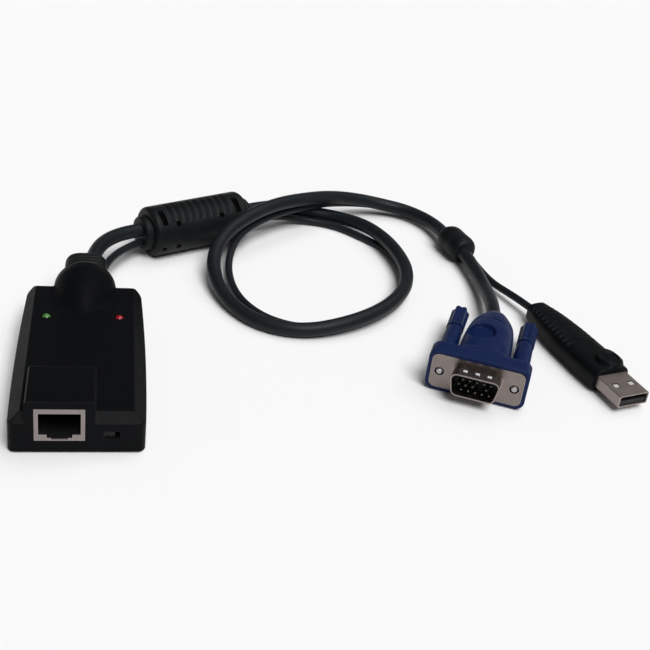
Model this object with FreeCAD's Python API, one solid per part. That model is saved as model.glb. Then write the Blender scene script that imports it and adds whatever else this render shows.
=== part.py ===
"""Server adapter with a network jack at one end and a video lead and a USB lead at the other.

Millimetres, +Z up. The origin is on the table under the middle of the housing, boot included.
The jack faces -Y and both cables leave the boot towards +Y.
"""
import FreeCAD, Part
import math
import os

V = FreeCAD.Vector
X_AXIS = V(1, 0, 0)
Y_AXIS = V(0, 1, 0)
Z_AXIS = V(0, 0, 1)

# General clearances
FIT = 0.1               # between a piece and the pocket it drops into
RUNNING_FIT = 0.06      # radial, between a turning shaft and its bore
PART_GAP = 0.3          # between faces that pass each other
CUT = 5.0               # how far a cutting tool runs past the material

# Housing outline
HOUSING_LENGTH = 90.0   # jack face to the end of the boot
BOOT_LENGTH = 14.5      # rear wall to the end of the boot
BODY_LENGTH = HOUSING_LENGTH - BOOT_LENGTH
MIDDLE_HALF = 19.85     # half width where the sides bulge most
FRONT_DRAW = 0.35       # how much each side draws in towards the front
REAR_DRAW = 0.95
FRONT_HALF = MIDDLE_HALF - FRONT_DRAW
REAR_HALF = MIDDLE_HALF - REAR_DRAW
BULGE_FROM_FRONT = 33.0
FRONT_CORNER = 2.3
REAR_CORNER = 4.2
ROUND_LEAST = 0.4       # smallest corner left when an outline is drawn in
FRONT_Y = -HOUSING_LENGTH / 2
MIDDLE_Y = FRONT_Y + BULGE_FROM_FRONT
REAR_Y = FRONT_Y + BODY_LENGTH
BOOT_END_Y = HOUSING_LENGTH / 2

# Housing heights
PARTING_Z = 5.2
SHOULDER_Z = 10.0       # where the side bevels start
TOP_Z = 13.0
SIDE_BEVEL = 3.5        # run of the side bevels
FRONT_BEVEL = 2.9
REAR_BEVEL = 1.4
BOTTOM_BEVEL = 0.7
TOP_ROUND = 0.5
WALL = 2.0
ROOF = 1.8
FLOOR = 1.8
SEAM_WIDTH = 0.3
SEAM_DEPTH = 0.35

# Raised block over the jack
BLOCK_WIDTH = 19.8
BLOCK_SIDE = 2.67       # jack's left side to the block's left side
BLOCK_LENGTH = 18.7
BLOCK_TOP = 18.0
BLOCK_ROUND = 1.0
BLOCK_WALL = 1.6

# Snout and cable boot
SNOUT_AXIS_Z = 11.0
SNOUT_LIP = 3.2         # snout beyond the boot, radial
SNOUT_CENTRE_Y = REAR_Y + 0.5
SNOUT_FRONT = 17.5
SNOUT_BACK = 5.0
SNOUT_WALL = 1.8
BOOT_SKIN = 0.37        # rubber outside the thin cable
BOOT_ROUND = 1.4
BOOT_NECK_STEP = 1.5    # neck below the boot, radial
BOOT_FLANGE_LENGTH = 1.8
NECK_WALL = 2.2         # length of the snout's end wall
GROOVE_WIDTH = 0.7
GROOVE_DEPTH = 0.5
BOOT_GROOVES = 3
BOOT_GROOVE_PITCH = 2.1
BOOT_GROOVE_START = 2.2

# Circuit board and screws
BOARD_THICKNESS = 1.6
BOARD_TOP = 4.55
BOARD_SIDE_GAP = 0.6
BOARD_HALF = FRONT_HALF - WALL - BOARD_SIDE_GAP
BOARD_FRONT_GAP = 0.4
BOARD_END_Y = REAR_Y - 4.5
SCREW_REAR_Y = REAR_Y - 9.5
SCREW_FRONT_X = BOARD_HALF - 2.3
SCREW_REAR_X = BOARD_HALF - 3.3
SCREW_RADIUS = 1.3
SCREW_HEAD_RADIUS = 2.3
SCREW_HEAD = 1.1
SCREW_LENGTH = 7.6
SCREW_SINK = 1.4        # depth of the head pocket
POST_RADIUS = 2.5
POST_BITE = 0.4         # how far a screw post runs into the roof

# Network jack
JACK_X = -4.86
JACK_WIDTH = 14.14
JACK_HEIGHT = 10.81
JACK_DEPTH = 15.5
BLOCK_LEFT = JACK_X - JACK_WIDTH / 2 - BLOCK_SIDE
BLOCK_RIGHT = BLOCK_LEFT + BLOCK_WIDTH
SCREW_FRONT_Y = FRONT_Y + JACK_DEPTH + POST_RADIUS + 0.5
JACK_SHEET = 0.35
MOUTH_WIDTH = 11.9
MOUTH_HEIGHT = 7.33
MOUTH_SILL = 1.98       # mouth above the bottom of the jack
MOUTH_DEPTH = 13.0
LATCH_WIDE = 7.2
LATCH_NARROW = 4.75
LATCH_STEP = 1.15
CONTACTS = 8
CONTACT_PITCH = 1.02
CONTACT_WIDTH = 0.45
CONTACT_THICKNESS = 0.35
CONTACT_DROP = 2.7
CONTACT_REACH = 7.0
LEAD_NOTCH = 1.2        # clear of the shell's floor at the contact leads

# Lights
LIGHT_INSET = 4.45      # from the edge of the top face
LIGHT_X = FRONT_HALF - SIDE_BEVEL - LIGHT_INSET
LIGHT_Y = REAR_Y - 20.3
LIGHT_RADIUS = 1.5
LIGHT_FLANGE = 1.9
LIGHT_FLANGE_THICKNESS = 0.9
LIGHT_HEIGHT = 5.3
LIGHT_STAND = 0.35      # tip above the top face
LIGHT_GAP = 0.15
LEG = 0.5
LEG_PITCH = 2.54

# Slide switch
SWITCH_FROM_JACK = 14.66
SWITCH_X = JACK_X + SWITCH_FROM_JACK
SWITCH_Z = 6.55
SLOT_WIDTH = 4.6
SLOT_HEIGHT = 2.3
SLIDER_WIDTH = 3.0
SLIDER_SINK = 0.5       # front of the slider behind the jack face
SLIDER_RIBS = 4
SWITCH_BODY_WIDTH = 7.2
SWITCH_BODY_DEPTH = 3.6
SWITCH_BODY_HEIGHT = 3.6
STEM = 1.2

VGA_HEADER = (2.0, BOARD_END_Y - 9.0, 12.0, 5.0, 5.0)    # x, y, width, length, height
USB_HEADER = (-7.2, BOARD_END_Y - 11.0, 6.0, 5.0, 4.0)
WIRE_RADIUS = 0.55
WIRE_PITCH = 1.5
WIRE_BITE = 1.0         # how far a wire runs into its header and its boot
WIRE_DROP = 1.6         # wires below the middle of their cable
WIRE_SHIFT = 4.0        # USB wires to the left of their cable
MAIN_CHIP = (2.0, FRONT_Y + 32.5, 10.0, 10.0)
USB_CHIP = (0.0, REAR_Y - 20.0, 5.3, 6.0)
CHIP_HEIGHT = 1.3
CHIP_STAND = 0.15
CHIP_PITCH = 1.0
CHIP_LEG_REACH = 0.8
CRYSTAL_LEFT = 4.3      # from the board's left edge
CRYSTAL_Y = FRONT_Y + 32.0
CRYSTAL_WIDTH = 4.6
CRYSTAL_LENGTH = 8.3
CRYSTAL_HEIGHT = 3.4
CRYSTAL_ROUND = 1.4
MAGNETICS_SHIFT = 1.3   # from the middle of the jack
MAGNETICS_GAP = 2.0     # behind the jack
MAGNETICS_WIDTH = 10.0
MAGNETICS_LENGTH = 9.0
MAGNETICS_HEIGHT = 5.6
CAPACITOR_RADIUS = 2.0
CAPACITOR_HEIGHT = 5.2
CAPACITORS = [(9.0, FRONT_Y + 25.4), (4.4, FRONT_Y + 25.4), (4.4, FRONT_Y + 20.9)]

# Cables: their points are measured from the boot's end in y
VIDEO_DIAMETER = 5.2
USB_DIAMETER = 2.8
CORNER_SHARE = 0.45     # share of the shorter run that a bend takes up
PLUG_DEPTH = 2.5        # how far a cable runs into its plug or boot

VIDEO_POINTS = [
    (1.2, -2.5, 11.9), (2.0, 6.5, 12.3), (4.6, 17.0, 12.3), (9.8, 25.3, 11.7), (17.2, 31.2, 11.1),
    (66.6, 56.0, 11.1), (77.5, 61.7, 6.6), (89.0, 64.2, 3.0), (100.8, 62.2, 2.9), (110.8, 55.2, 4.4),
    (117.3, 43.5, 5.6), (120.8, 29.0, 5.6), (120.6, 14.5, 5.6), (115.5, -0.5, 5.6), (104.5, -14.0, 5.4),
    (90.0, -22.5, 4.6), (74.5, -25.4, 2.9), (61.0, -21.0, 2.7), (51.5, -10.0, 2.8), (46.6, 4.0, 4.2),
    (46.2, 18.5, 7.4), (51.2, 30.2, 11.8), (60.9, 39.4, 15.5), (72.4, 50.4, 16.0), (84.8, 60.4, 14.6),
    (97.0, 69.2, 11.8), (109.6, 74.8, 8.4), (121.5, 75.6, 5.4), (131.7, 70.6, 4.0), (138.4, 61.2, 4.2),
    (142.5, 48.8, 5.4), (147.7, 31.9, 5.4), (148.9, 19.0, 4.6), (148.6, 7.0, 5.0), (147.4, -4.8, 6.6),
    (145.4, -15.8, 7.9), (142.6, -26.1, 8.0),
]
USB_POINTS = [
    (4.6, -2.5, 8.3), (5.8, 6.8, 7.9), (9.2, 17.5, 7.4), (14.6, 25.8, 6.9), (22.4, 33.8, 6.6),
    (65.7, 55.5, 6.6), (77.0, 58.8, 3.6), (89.0, 60.3, 1.6), (100.5, 57.9, 1.5), (109.4, 51.4, 1.5),
    (116.3, 41.5, 1.5), (120.4, 29.0, 1.5), (120.6, 14.5, 1.5), (115.5, 0.5, 1.5), (104.5, -12.0, 1.5),
    (90.0, -19.5, 1.5), (75.5, -21.0, 1.5), (64.0, -16.0, 1.5), (56.0, -5.5, 1.5), (52.0, 8.0, 1.9),
    (52.6, 21.5, 4.0), (57.8, 33.5, 7.0), (67.0, 43.6, 9.6), (79.5, 55.4, 10.0), (93.0, 67.0, 8.0),
    (106.5, 76.4, 4.8), (120.0, 79.8, 2.2), (133.0, 76.0, 1.5), (142.6, 66.5, 1.5), (147.2, 54.8, 2.6),
    (149.6, 39.0, 3.6), (152.2, 26.0, 2.4), (154.2, 14.0, 2.8), (157.6, 5.5, 3.6), (161.3, -3.8, 4.4),
    (164.8, -12.8, 4.6),
]

# The boot is as thick as the thin cable's place in it asks
BOOT_RADIUS = math.hypot(USB_POINTS[0][0], USB_POINTS[0][2] - SNOUT_AXIS_Z) + USB_DIAMETER / 2 + BOOT_SKIN
BOOT_NECK_RADIUS = BOOT_RADIUS - BOOT_NECK_STEP
BOOT_FLANGE_RADIUS = BOOT_RADIUS - FIT
SNOUT_RADIUS = BOOT_RADIUS + SNOUT_LIP

# Ferrite on the cables
FERRITE_X = 39.75
FERRITE_Y = BOOT_END_Y + 42.5
FERRITE_ANGLE = 26.7
FERRITE_RADIUS = 9.5
FERRITE_LENGTH = 41.0
FERRITE_NECK = 3.0
FERRITE_NECK_RADIUS = 6.6
FERRITE_BEVEL = 1.6
FERRITE_GROOVES = 8
FERRITE_GROOVE_PITCH = 3.2
FERRITE_GROOVE_WIDTH = 1.3
FERRITE_GROOVE_DEPTH = 0.6
FERRITE_GRIP = 13.0     # width of the grooved flat on top
SLEEVE_WALL = 1.4
SLEEVE_END = 4.0
CORE_BORE_RADIUS = 4.85

# Collar where the cables part
COLLAR_LENGTH = 14.5
COLLAR_RADIUS = 4.9
COLLAR_ROUND = 1.2
COLLAR_X = 146.5
COLLAR_Y = BOOT_END_Y + 40.4
COLLAR_ANGLE = -73.0

# Video plug
VGA_ANGLE = -24.4
VGA_Z = 8.0
VGA_LENGTH = 41.5       # plate face to the cable end of the hood
PLATE_WIDTH = 30.8
PLATE_HEIGHT = 12.5
PLATE_THICKNESS = 0.8
PLATE_CORNER = 2.2
SHELL_OUT = 5.9
SHELL_WIDTH = 16.9
SHELL_HEIGHT = 8.3
SHELL_SHEET = 0.45
SHELL_ROUND = 2.2
SHELL_SLOPE = 10.0
SHELL_STEP = 0.5        # the root of the shell, round it
SCREW_SPACING = 24.99
PLATE_HOLE = 1.65
BLOCK_MARGIN = 1.3      # moulding showing round the plate
BLOCK_DEPTH = 7.2
BLOCK_CORNER = 3.0
PLATE_SINK = 0.25       # face of the plate ahead of the moulding
HOOD_GROOVES = 4
HOOD_CORNER = 4.2
HOOD_GROOVE_PITCH = 2.0
HOOD_GROOVE_WIDTH = 0.6
HOOD_GROOVE_DEPTH = 0.6
HOOD_FIRST_GROOVE = 2.4
THUMB_LENGTH = 10.4
THUMB_WIDTH = 9.6
THUMB_Y = 20.4
THUMB_DEPTH = 1.3
PIN_RADIUS = 0.38
PIN_PITCH = 2.29
PIN_ROW = 1.98
PIN_OUT = 5.0
PIN_BACK = 3.0
MISSING_PIN = 3         # place in the middle row, counted from the left
INSERT_SINK = 0.4       # face of the insert behind the plate

# Thumbscrews
THREAD_RADIUS = 1.4
THREAD_OUT = 0.4
KNOB_RADIUS = 3.2
KNOB_END_Y = 42.0
KNOB_HEAD = 13.0
KNOB_FLUTES = 6
FLUTE_RADIUS = 0.8
KNOB_RING = 0.5
KNOB_TAPER = 0.4

# USB plug
USB_ANGLE = 15.8
USB_Z = 4.6
USB_LENGTH = 59.0
USB_SHELL_WIDTH = 12.0
USB_SHELL_HEIGHT = 4.5
USB_SHELL_OUT = 12.6
USB_SHELL_IN = 5.0
USB_SHEET = 0.35
USB_ROUND = 0.5
TONGUE_HEIGHT = 1.9
TONGUE_SINK = 0.5
USB_WINDOW = 2.4
USB_WINDOW_SPACING = 6.2
USB_WINDOW_Y = 6.2
USB_CONTACT_WIDTH = 1.1
USB_CONTACT_PITCH = 2.2
USB_CONTACTS = 4
USB_GROOVES = 11
USB_CORNER = 3.4
USB_GROOVE_PITCH = 2.5
USB_GROOVE_WIDTH = 0.8
USB_GROOVE_DEPTH = 0.5
USB_GROOVE_START = 2.2
PAD_LENGTH = 10.0
PAD_WIDTH = 8.4
PAD_HEIGHT = 1.5
PAD_Y = 19.5
PAD_DISH = 0.7
PAD_RIM = 1.3

# Sections of the two moulded grips: along, half width, half height
HOOD_SECTIONS = [
    (0.0, 8.9, 7.3), (0.18, 8.9, 7.2), (0.4, 8.7, 6.9), (0.62, 8.2, 6.5), (0.8, 7.2, 5.8), (0.92, 5.6, 4.9),
    (1.0, 4.2, 4.1),
]
USB_SECTIONS = [
    (0.0, 7.2, 4.4), (0.12, 7.5, 4.5), (0.35, 7.4, 4.5), (0.62, 6.9, 4.45), (0.85, 5.6, 4.2), (1.0, 4.1, 3.7),
]


def box(x0, x1, y0, y1, z0, z1):
    """A block between two corners."""
    return Part.makeBox(x1 - x0, y1 - y0, z1 - z0, V(x0, y0, z0))


def rod(radius, length, start, direction):
    """A round bar from start along direction."""
    return Part.makeCylinder(radius, length, start, direction)


def prism(corners, direction):
    """A closed polygon pushed along a vector."""
    wire = Part.makePolygon([V(*c) for c in corners + corners[:1]])
    return Part.Face(wire).extrude(direction)


def fuse(shapes):
    """Join touching solids into one."""
    first = shapes[0]
    return first.fuse(shapes[1:]).removeSplitter()


def rounded_rectangle(half_w, half_h, corner, y):
    """A rectangle with round corners in the plane at y, centred on the axis."""
    r = min(corner, half_w * 0.98, half_h * 0.98)
    k = r * (1 - math.sqrt(0.5))
    edges = []
    for sx, sz in ((1, 1), (-1, 1), (-1, -1), (1, -1)):
        across = V(sx * (half_w - r), y, sz * half_h)
        along = V(sx * half_w, y, sz * (half_h - r))
        middle = V(sx * (half_w - k), y, sz * (half_h - k))
        start, end = (along, across) if sx * sz > 0 else (across, along)
        edges.append((start, middle, end))
    parts = []
    for i, (start, middle, end) in enumerate(edges):
        parts.append(Part.Arc(start, middle, end).toShape())
        parts.append(Part.LineSegment(end, edges[(i + 1) % len(edges)][0]).toShape())
    return Part.Wire(parts)


def turned(profile, origin):
    """Spin a profile of (along, radius) points about the Y axis through origin."""
    points = [V(origin.x, origin.y + y, origin.z + r) for y, r in profile]
    wire = Part.makePolygon(points + points[:1])
    return Part.Face(wire).revolve(origin, Y_AXIS, 360)


def at_plug(shape, end, angle, length, height):
    """Carry a plug drawn along +Y from its face to the place where its cable ends."""
    turn = math.radians(angle)
    ahead = V(-math.sin(turn), math.cos(turn), 0)
    tip = V(end[0], BOOT_END_Y + end[1], 0) - ahead * (length - PLUG_DEPTH)
    placed = shape.copy()
    placed.rotate(V(0, 0, 0), Z_AXIS, angle)
    placed.translate(V(tip.x, tip.y, height))
    return placed


def route(points):
    """The wire of a cable: straight runs joined by arcs, and the radius of each arc."""
    spots = [V(x, BOOT_END_Y + y, z) for x, y, z in points]
    edges = []
    radii = []
    last = spots[0]
    for before, corner, after in zip(spots, spots[1:], spots[2:]):
        back = before - corner
        on = after - corner
        take = CORNER_SHARE * min(back.Length, on.Length)
        half = back.getAngle(on) / 2
        start = corner + V(back).normalize() * take
        end = corner + V(on).normalize() * take
        inward = (V(back).normalize() + V(on).normalize()).normalize()
        radius = take * math.tan(half)
        middle = corner + inward * (take / math.cos(half) - radius)
        edges.append(Part.LineSegment(last, start).toShape())
        edges.append(Part.Arc(start, middle, end).toShape())
        radii.append(radius)
        last = end
    edges.append(Part.LineSegment(last, spots[-1]).toShape())
    return Part.Wire(edges), radii


def cable(name, points, diameter):
    """A round cable along its route, with its length and bends printed."""
    wire, radii = route(points)
    start = wire.Vertexes[0].Point
    ahead = V(*points[1]) - V(*points[0])
    section = Part.Wire(Part.makeCircle(diameter / 2, start, ahead))
    tube = wire.makePipeShell([section], True, True, 2)
    print(name, "length %.1f" % wire.Length)
    print(name, "bends", " ".join("%.1f" % r for r in radii))
    expected = math.pi * diameter ** 2 / 4 * wire.Length
    print(name, "volume share of section times length %.4f" % (tube.Volume / expected))
    return tube


VIDEO_CABLE = cable("video_cable", VIDEO_POINTS, VIDEO_DIAMETER)
USB_CABLE = cable("usb_cable", USB_POINTS, USB_DIAMETER)


def outline(inset, z0, z1):
    """The housing seen from above, pushed up from z0 to z1 and drawn in by inset."""
    front = FRONT_Y + inset
    rear = REAR_Y - inset
    fh = FRONT_HALF - inset
    mh = MIDDLE_HALF - inset
    rh = REAR_HALF - inset
    fc = max(FRONT_CORNER - inset, ROUND_LEAST)
    rc = max(REAR_CORNER - inset, ROUND_LEAST)
    fk = fc * (1 - math.sqrt(0.5))
    rk = rc * (1 - math.sqrt(0.5))
    right = [
        (V(fh - fc, front, z0), V(fh - fk, front + fk, z0), V(fh, front + fc, z0)),
        (V(fh, front + fc, z0), V(mh, MIDDLE_Y, z0), V(rh, rear - rc, z0)),
        (V(rh, rear - rc, z0), V(rh - rk, rear - rk, z0), V(rh - rc, rear, z0)),
    ]
    left = [tuple(V(-p.x, p.y, p.z) for p in reversed(arc)) for arc in reversed(right)]
    edges = [Part.Arc(*arc).toShape() for arc in right]
    edges.append(Part.LineSegment(right[-1][2], left[0][0]).toShape())
    edges += [Part.Arc(*arc).toShape() for arc in left]
    edges.append(Part.LineSegment(left[-1][2], right[0][0]).toShape())
    return Part.Face(Part.Wire(edges)).extrude(V(0, 0, z1 - z0))


def bevelled(inset, floor, shoulder, roof):
    """The housing's body: the outline under a roof bevelled at its sides, front and rear."""
    wide = MIDDLE_HALF + CUT
    slope = SIDE_BEVEL / (TOP_Z - SHOULDER_Z)
    edge = FRONT_HALF - inset
    top_x = edge - slope * (roof - shoulder)
    low = shoulder - (wide - edge) / slope
    across = [(-wide, 0, floor), (wide, 0, floor), (wide, 0, low), (top_x, 0, roof), (-top_x, 0, roof),
              (-wide, 0, low)]
    across = [(x, FRONT_Y - CUT, z) for x, _, z in across]
    body = outline(inset, floor, roof)
    return body.common(prism(across, V(0, BODY_LENGTH + 2 * CUT, 0)))


def end_bevels(body):
    """Slope the front and rear edges of the top face."""
    wide = MIDDLE_HALF + CUT
    front = [(-wide, FRONT_Y - CUT, TOP_Z - FRONT_BEVEL - CUT),
             (-wide, FRONT_Y + FRONT_BEVEL + CUT, TOP_Z + CUT), (-wide, FRONT_Y - CUT, TOP_Z + CUT)]
    rear = [(-wide, REAR_Y + CUT, TOP_Z - REAR_BEVEL - CUT), (-wide, REAR_Y + CUT, TOP_Z + CUT),
            (-wide, REAR_Y - REAR_BEVEL - CUT, TOP_Z + CUT)]
    return body.cut([prism(front, V(2 * wide, 0, 0)), prism(rear, V(2 * wide, 0, 0))])


def raised_block():
    """The block over the jack, with its top edges rounded."""
    block = box(BLOCK_LEFT, BLOCK_RIGHT, FRONT_Y, FRONT_Y + BLOCK_LENGTH, PARTING_Z, BLOCK_TOP)
    rounds = [e for e in block.Edges
              if abs(e.CenterOfMass.z - BLOCK_TOP) < FIT and e.CenterOfMass.y > FRONT_Y + FIT]
    uprights = [e for e in block.Edges
                if abs(e.CenterOfMass.y - FRONT_Y - BLOCK_LENGTH) < FIT and abs(e.tangentAt(0).z) > 0.5]
    return block.makeFillet(BLOCK_ROUND, rounds + uprights)


def snout(thinner):
    """The rounded snout, an egg shape about the cable axis, drawn in by thinner."""
    radius = SNOUT_RADIUS - thinner
    front = SNOUT_FRONT - thinner
    back = SNOUT_BACK
    steps = 10
    points = []
    for i in range(steps + 1):
        a = math.pi / 2 * i / steps
        points.append((SNOUT_CENTRE_Y - front * math.cos(a), radius * math.sin(a)))
    last = math.asin(min(0.95, (BOOT_RADIUS - thinner) / radius))
    tail = []
    for i in range(steps + 1):
        a = math.pi / 2 + (math.pi / 2 - last) * i / steps
        tail.append((SNOUT_CENTRE_Y - back * math.cos(a), radius * math.sin(a)))
    edges = []
    for run, first_way, last_way in ((points, Z_AXIS, Y_AXIS), (tail, Y_AXIS, None)):
        spots = [V(0, y, SNOUT_AXIS_Z + r) for y, r in run]
        curve = Part.BSplineCurve()
        if last_way is None:
            curve.interpolate(spots)
        else:
            curve.interpolate(Points=spots, InitialTangent=first_way, FinalTangent=last_way)
        edges.append(curve.toShape())
    end = tail[-1]
    corner = V(0, end[0], SNOUT_AXIS_Z)
    edges.append(Part.LineSegment(V(0, end[0], SNOUT_AXIS_Z + end[1]), corner).toShape())
    edges.append(Part.LineSegment(corner, V(0, points[0][0], SNOUT_AXIS_Z)).toShape())
    face = Part.Face(Part.Wire(edges))
    return face.revolve(V(0, 0, SNOUT_AXIS_Z), Y_AXIS, 360), end[0]


SNOUT_SOLID, SNOUT_END_Y = snout(0.0)


def jack_box(grow, depth):
    """The jack's outer block, grown all round by grow."""
    return box(JACK_X - JACK_WIDTH / 2 - grow, JACK_X + JACK_WIDTH / 2 + grow, FRONT_Y, FRONT_Y + depth,
               BOARD_TOP - grow, BOARD_TOP + JACK_HEIGHT + grow)


def screw_places():
    """The four cover screws, seen from above."""
    return [(sx * x, y) for x, y in ((SCREW_FRONT_X, SCREW_FRONT_Y), (SCREW_REAR_X, SCREW_REAR_Y))
            for sx in (-1, 1)]


def housing():
    """Both covers: one hollow body cut along the parting face."""
    body = end_bevels(bevelled(0.0, 0.0, SHOULDER_Z, TOP_Z))
    edges = [e for e in body.Edges if e.CenterOfMass.z > SHOULDER_Z - CUT + BOTTOM_BEVEL and
             e.BoundBox.ZMin > SHOULDER_Z - 1.0]
    body = body.makeFillet(TOP_ROUND, edges)
    low = [e for e in body.Edges if e.BoundBox.ZMax < FIT]
    body = body.makeChamfer(BOTTOM_BEVEL, low)
    outer = body.fuse([raised_block(), SNOUT_SOLID]).removeSplitter()
    roof = TOP_Z - ROOF
    shoulder = SHOULDER_Z - ROOF / 2
    room = bevelled(WALL, FLOOR, shoulder, roof)
    block_room = box(BLOCK_LEFT + BLOCK_WALL, BLOCK_RIGHT - BLOCK_WALL, FRONT_Y + WALL,
                     FRONT_Y + BLOCK_LENGTH - BLOCK_WALL, FLOOR, BLOCK_TOP - BLOCK_WALL)
    snout_room, _ = snout(SNOUT_WALL)
    snout_room = snout_room.common(box(-SNOUT_RADIUS, SNOUT_RADIUS, FRONT_Y, SNOUT_END_Y - NECK_WALL,
                                       FLOOR, SNOUT_AXIS_Z + SNOUT_RADIUS))
    neck = rod(BOOT_NECK_RADIUS + FIT, HOUSING_LENGTH, V(0, SNOUT_CENTRE_Y, SNOUT_AXIS_Z), Y_AXIS)
    hollow = outer.cut([room, block_room, snout_room, neck])
    seam = outline(-CUT, PARTING_Z - SEAM_WIDTH / 2, PARTING_Z + SEAM_WIDTH / 2)
    seam = seam.cut(outline(SEAM_DEPTH, PARTING_Z - SEAM_WIDTH / 2, PARTING_Z + SEAM_WIDTH / 2))
    seam = seam.cut(box(-SNOUT_RADIUS - FIT, SNOUT_RADIUS + FIT, REAR_Y - WALL, BOOT_END_Y, 0, TOP_Z))
    hollow = hollow.cut([seam, jack_box(FIT, JACK_DEPTH)])
    lower = box(-MIDDLE_HALF - CUT, MIDDLE_HALF + CUT, FRONT_Y - CUT, BOOT_END_Y + CUT, -CUT, PARTING_Z)
    saddle = box(-SNOUT_RADIUS - FIT, SNOUT_RADIUS + FIT, REAR_Y - WALL, BOOT_END_Y, 0, SNOUT_AXIS_Z)
    lower = lower.fuse(saddle)
    return hollow, lower


HOLLOW, LOWER = housing()


def top_cover():
    """The upper cover with its light holes, switch slot and screw posts."""
    cover = HOLLOW.cut(LOWER)
    posts = []
    pilots = []
    for x, y in screw_places():
        posts.append(rod(POST_RADIUS, TOP_Z - ROOF + POST_BITE - BOARD_TOP, V(x, y, BOARD_TOP), Z_AXIS))
        pilots.append(rod(SCREW_RADIUS + RUNNING_FIT, SCREW_LENGTH + PART_GAP, V(x, y, SCREW_SINK), Z_AXIS))
    cover = cover.fuse(posts).removeSplitter()
    holes = [rod(LIGHT_RADIUS + LIGHT_GAP, TOP_Z, V(s * LIGHT_X, LIGHT_Y, PARTING_Z), Z_AXIS)
             for s in (-1, 1)]
    slot = box(SWITCH_X - SLOT_WIDTH / 2, SWITCH_X + SLOT_WIDTH / 2, FRONT_Y - CUT, FRONT_Y + WALL + FIT,
               SWITCH_Z - SLOT_HEIGHT / 2, SWITCH_Z + SLOT_HEIGHT / 2)
    return cover.cut(pilots + holes + [slot, jack_box(FIT, JACK_DEPTH)])


def bottom_cover():
    """The tray with four bosses that carry the board, and pockets for the screw heads."""
    cover = HOLLOW.common(LOWER)
    bosses = []
    cuts = []
    for x, y in screw_places():
        height = BOARD_TOP - BOARD_THICKNESS - FLOOR / 2
        bosses.append(rod(POST_RADIUS, height, V(x, y, FLOOR / 2), Z_AXIS))
        cuts.append(rod(SCREW_HEAD_RADIUS + FIT, SCREW_SINK, V(x, y, 0), Z_AXIS))
        cuts.append(rod(SCREW_RADIUS + RUNNING_FIT, PARTING_Z, V(x, y, 0), Z_AXIS))
    cover = cover.fuse(bosses).removeSplitter()
    return cover.cut(cuts)


def cover_screws():
    """Four pan-head screws that come up from below."""
    screws = []
    for x, y in screw_places():
        head = rod(SCREW_HEAD_RADIUS, SCREW_HEAD, V(x, y, SCREW_SINK - SCREW_HEAD), Z_AXIS)
        shank = rod(SCREW_RADIUS, SCREW_LENGTH, V(x, y, SCREW_SINK), Z_AXIS)
        screw = fuse([head, shank])
        arm = SCREW_HEAD_RADIUS * 0.6
        slot = SCREW_RADIUS * 0.25
        depth = SCREW_HEAD * 0.6
        cross = [box(x - arm, x + arm, y - slot, y + slot, 0, SCREW_SINK - SCREW_HEAD + depth),
                 box(x - slot, x + slot, y - arm, y + arm, 0, SCREW_SINK - SCREW_HEAD + depth)]
        screws.append(screw.cut(cross))
    return Part.makeCompound(screws)


def cable_boot():
    """The round rubber boot: a flange inside the snout, a neck, and the ribbed end."""
    axis = V(0, 0, SNOUT_AXIS_Z)
    flange_end = SNOUT_END_Y - NECK_WALL
    profile = [
        (flange_end - BOOT_FLANGE_LENGTH, 0), (flange_end - BOOT_FLANGE_LENGTH, BOOT_FLANGE_RADIUS),
        (flange_end, BOOT_FLANGE_RADIUS), (flange_end, BOOT_NECK_RADIUS), (SNOUT_END_Y, BOOT_NECK_RADIUS),
        (SNOUT_END_Y, BOOT_RADIUS), (BOOT_END_Y, BOOT_RADIUS), (BOOT_END_Y, 0),
    ]
    boot = turned(profile, axis)
    rim = [e for e in boot.Edges if abs(e.CenterOfMass.y - BOOT_END_Y) < FIT and e.Length > BOOT_RADIUS]
    boot = boot.makeFillet(BOOT_ROUND, rim)
    rings = []
    for i in range(BOOT_GROOVES):
        y = SNOUT_END_Y + BOOT_GROOVE_START + i * BOOT_GROOVE_PITCH
        spot = V(0, y - GROOVE_WIDTH / 2, SNOUT_AXIS_Z)
        ring = rod(BOOT_RADIUS + CUT, GROOVE_WIDTH, spot, Y_AXIS)
        inner = rod(BOOT_RADIUS - GROOVE_DEPTH, GROOVE_WIDTH, spot, Y_AXIS)
        rings.append(ring.cut(inner))
    return boot.cut(rings + [VIDEO_CABLE, USB_CABLE] + wire_runs())


def mouth(y0, y1, shrink):
    """The jack's mouth with its two-step latch notch, between y0 and y1."""
    sill = BOARD_TOP + MOUTH_SILL
    opening = box(JACK_X - MOUTH_WIDTH / 2 + shrink, JACK_X + MOUTH_WIDTH / 2 - shrink, y0, y1, sill + shrink,
                  sill + MOUTH_HEIGHT - shrink)
    wide = box(JACK_X - LATCH_WIDE / 2, JACK_X + LATCH_WIDE / 2, y0, y1, sill - LATCH_STEP, sill + 1)
    low = BOARD_TOP + JACK_SHEET
    narrow = box(JACK_X - LATCH_NARROW / 2, JACK_X + LATCH_NARROW / 2, y0, y1, low, sill)
    return fuse([opening, wide, narrow])


def rj45_shield():
    """The folded metal shell of the jack."""
    shell = jack_box(0.0, JACK_DEPTH)
    shell = shell.cut(box(JACK_X - JACK_WIDTH / 2 + JACK_SHEET, JACK_X + JACK_WIDTH / 2 - JACK_SHEET,
                          FRONT_Y + JACK_SHEET, FRONT_Y + JACK_DEPTH + CUT, BOARD_TOP + JACK_SHEET,
                          BOARD_TOP + JACK_HEIGHT - JACK_SHEET))
    leads = box(JACK_X - MOUTH_WIDTH / 2, JACK_X + MOUTH_WIDTH / 2, FRONT_Y + JACK_DEPTH - LEAD_NOTCH,
                FRONT_Y + JACK_DEPTH + CUT, BOARD_TOP - CUT, BOARD_TOP + JACK_SHEET)
    return shell.cut([mouth(FRONT_Y - CUT, FRONT_Y + JACK_SHEET, 0.0), leads])


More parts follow.
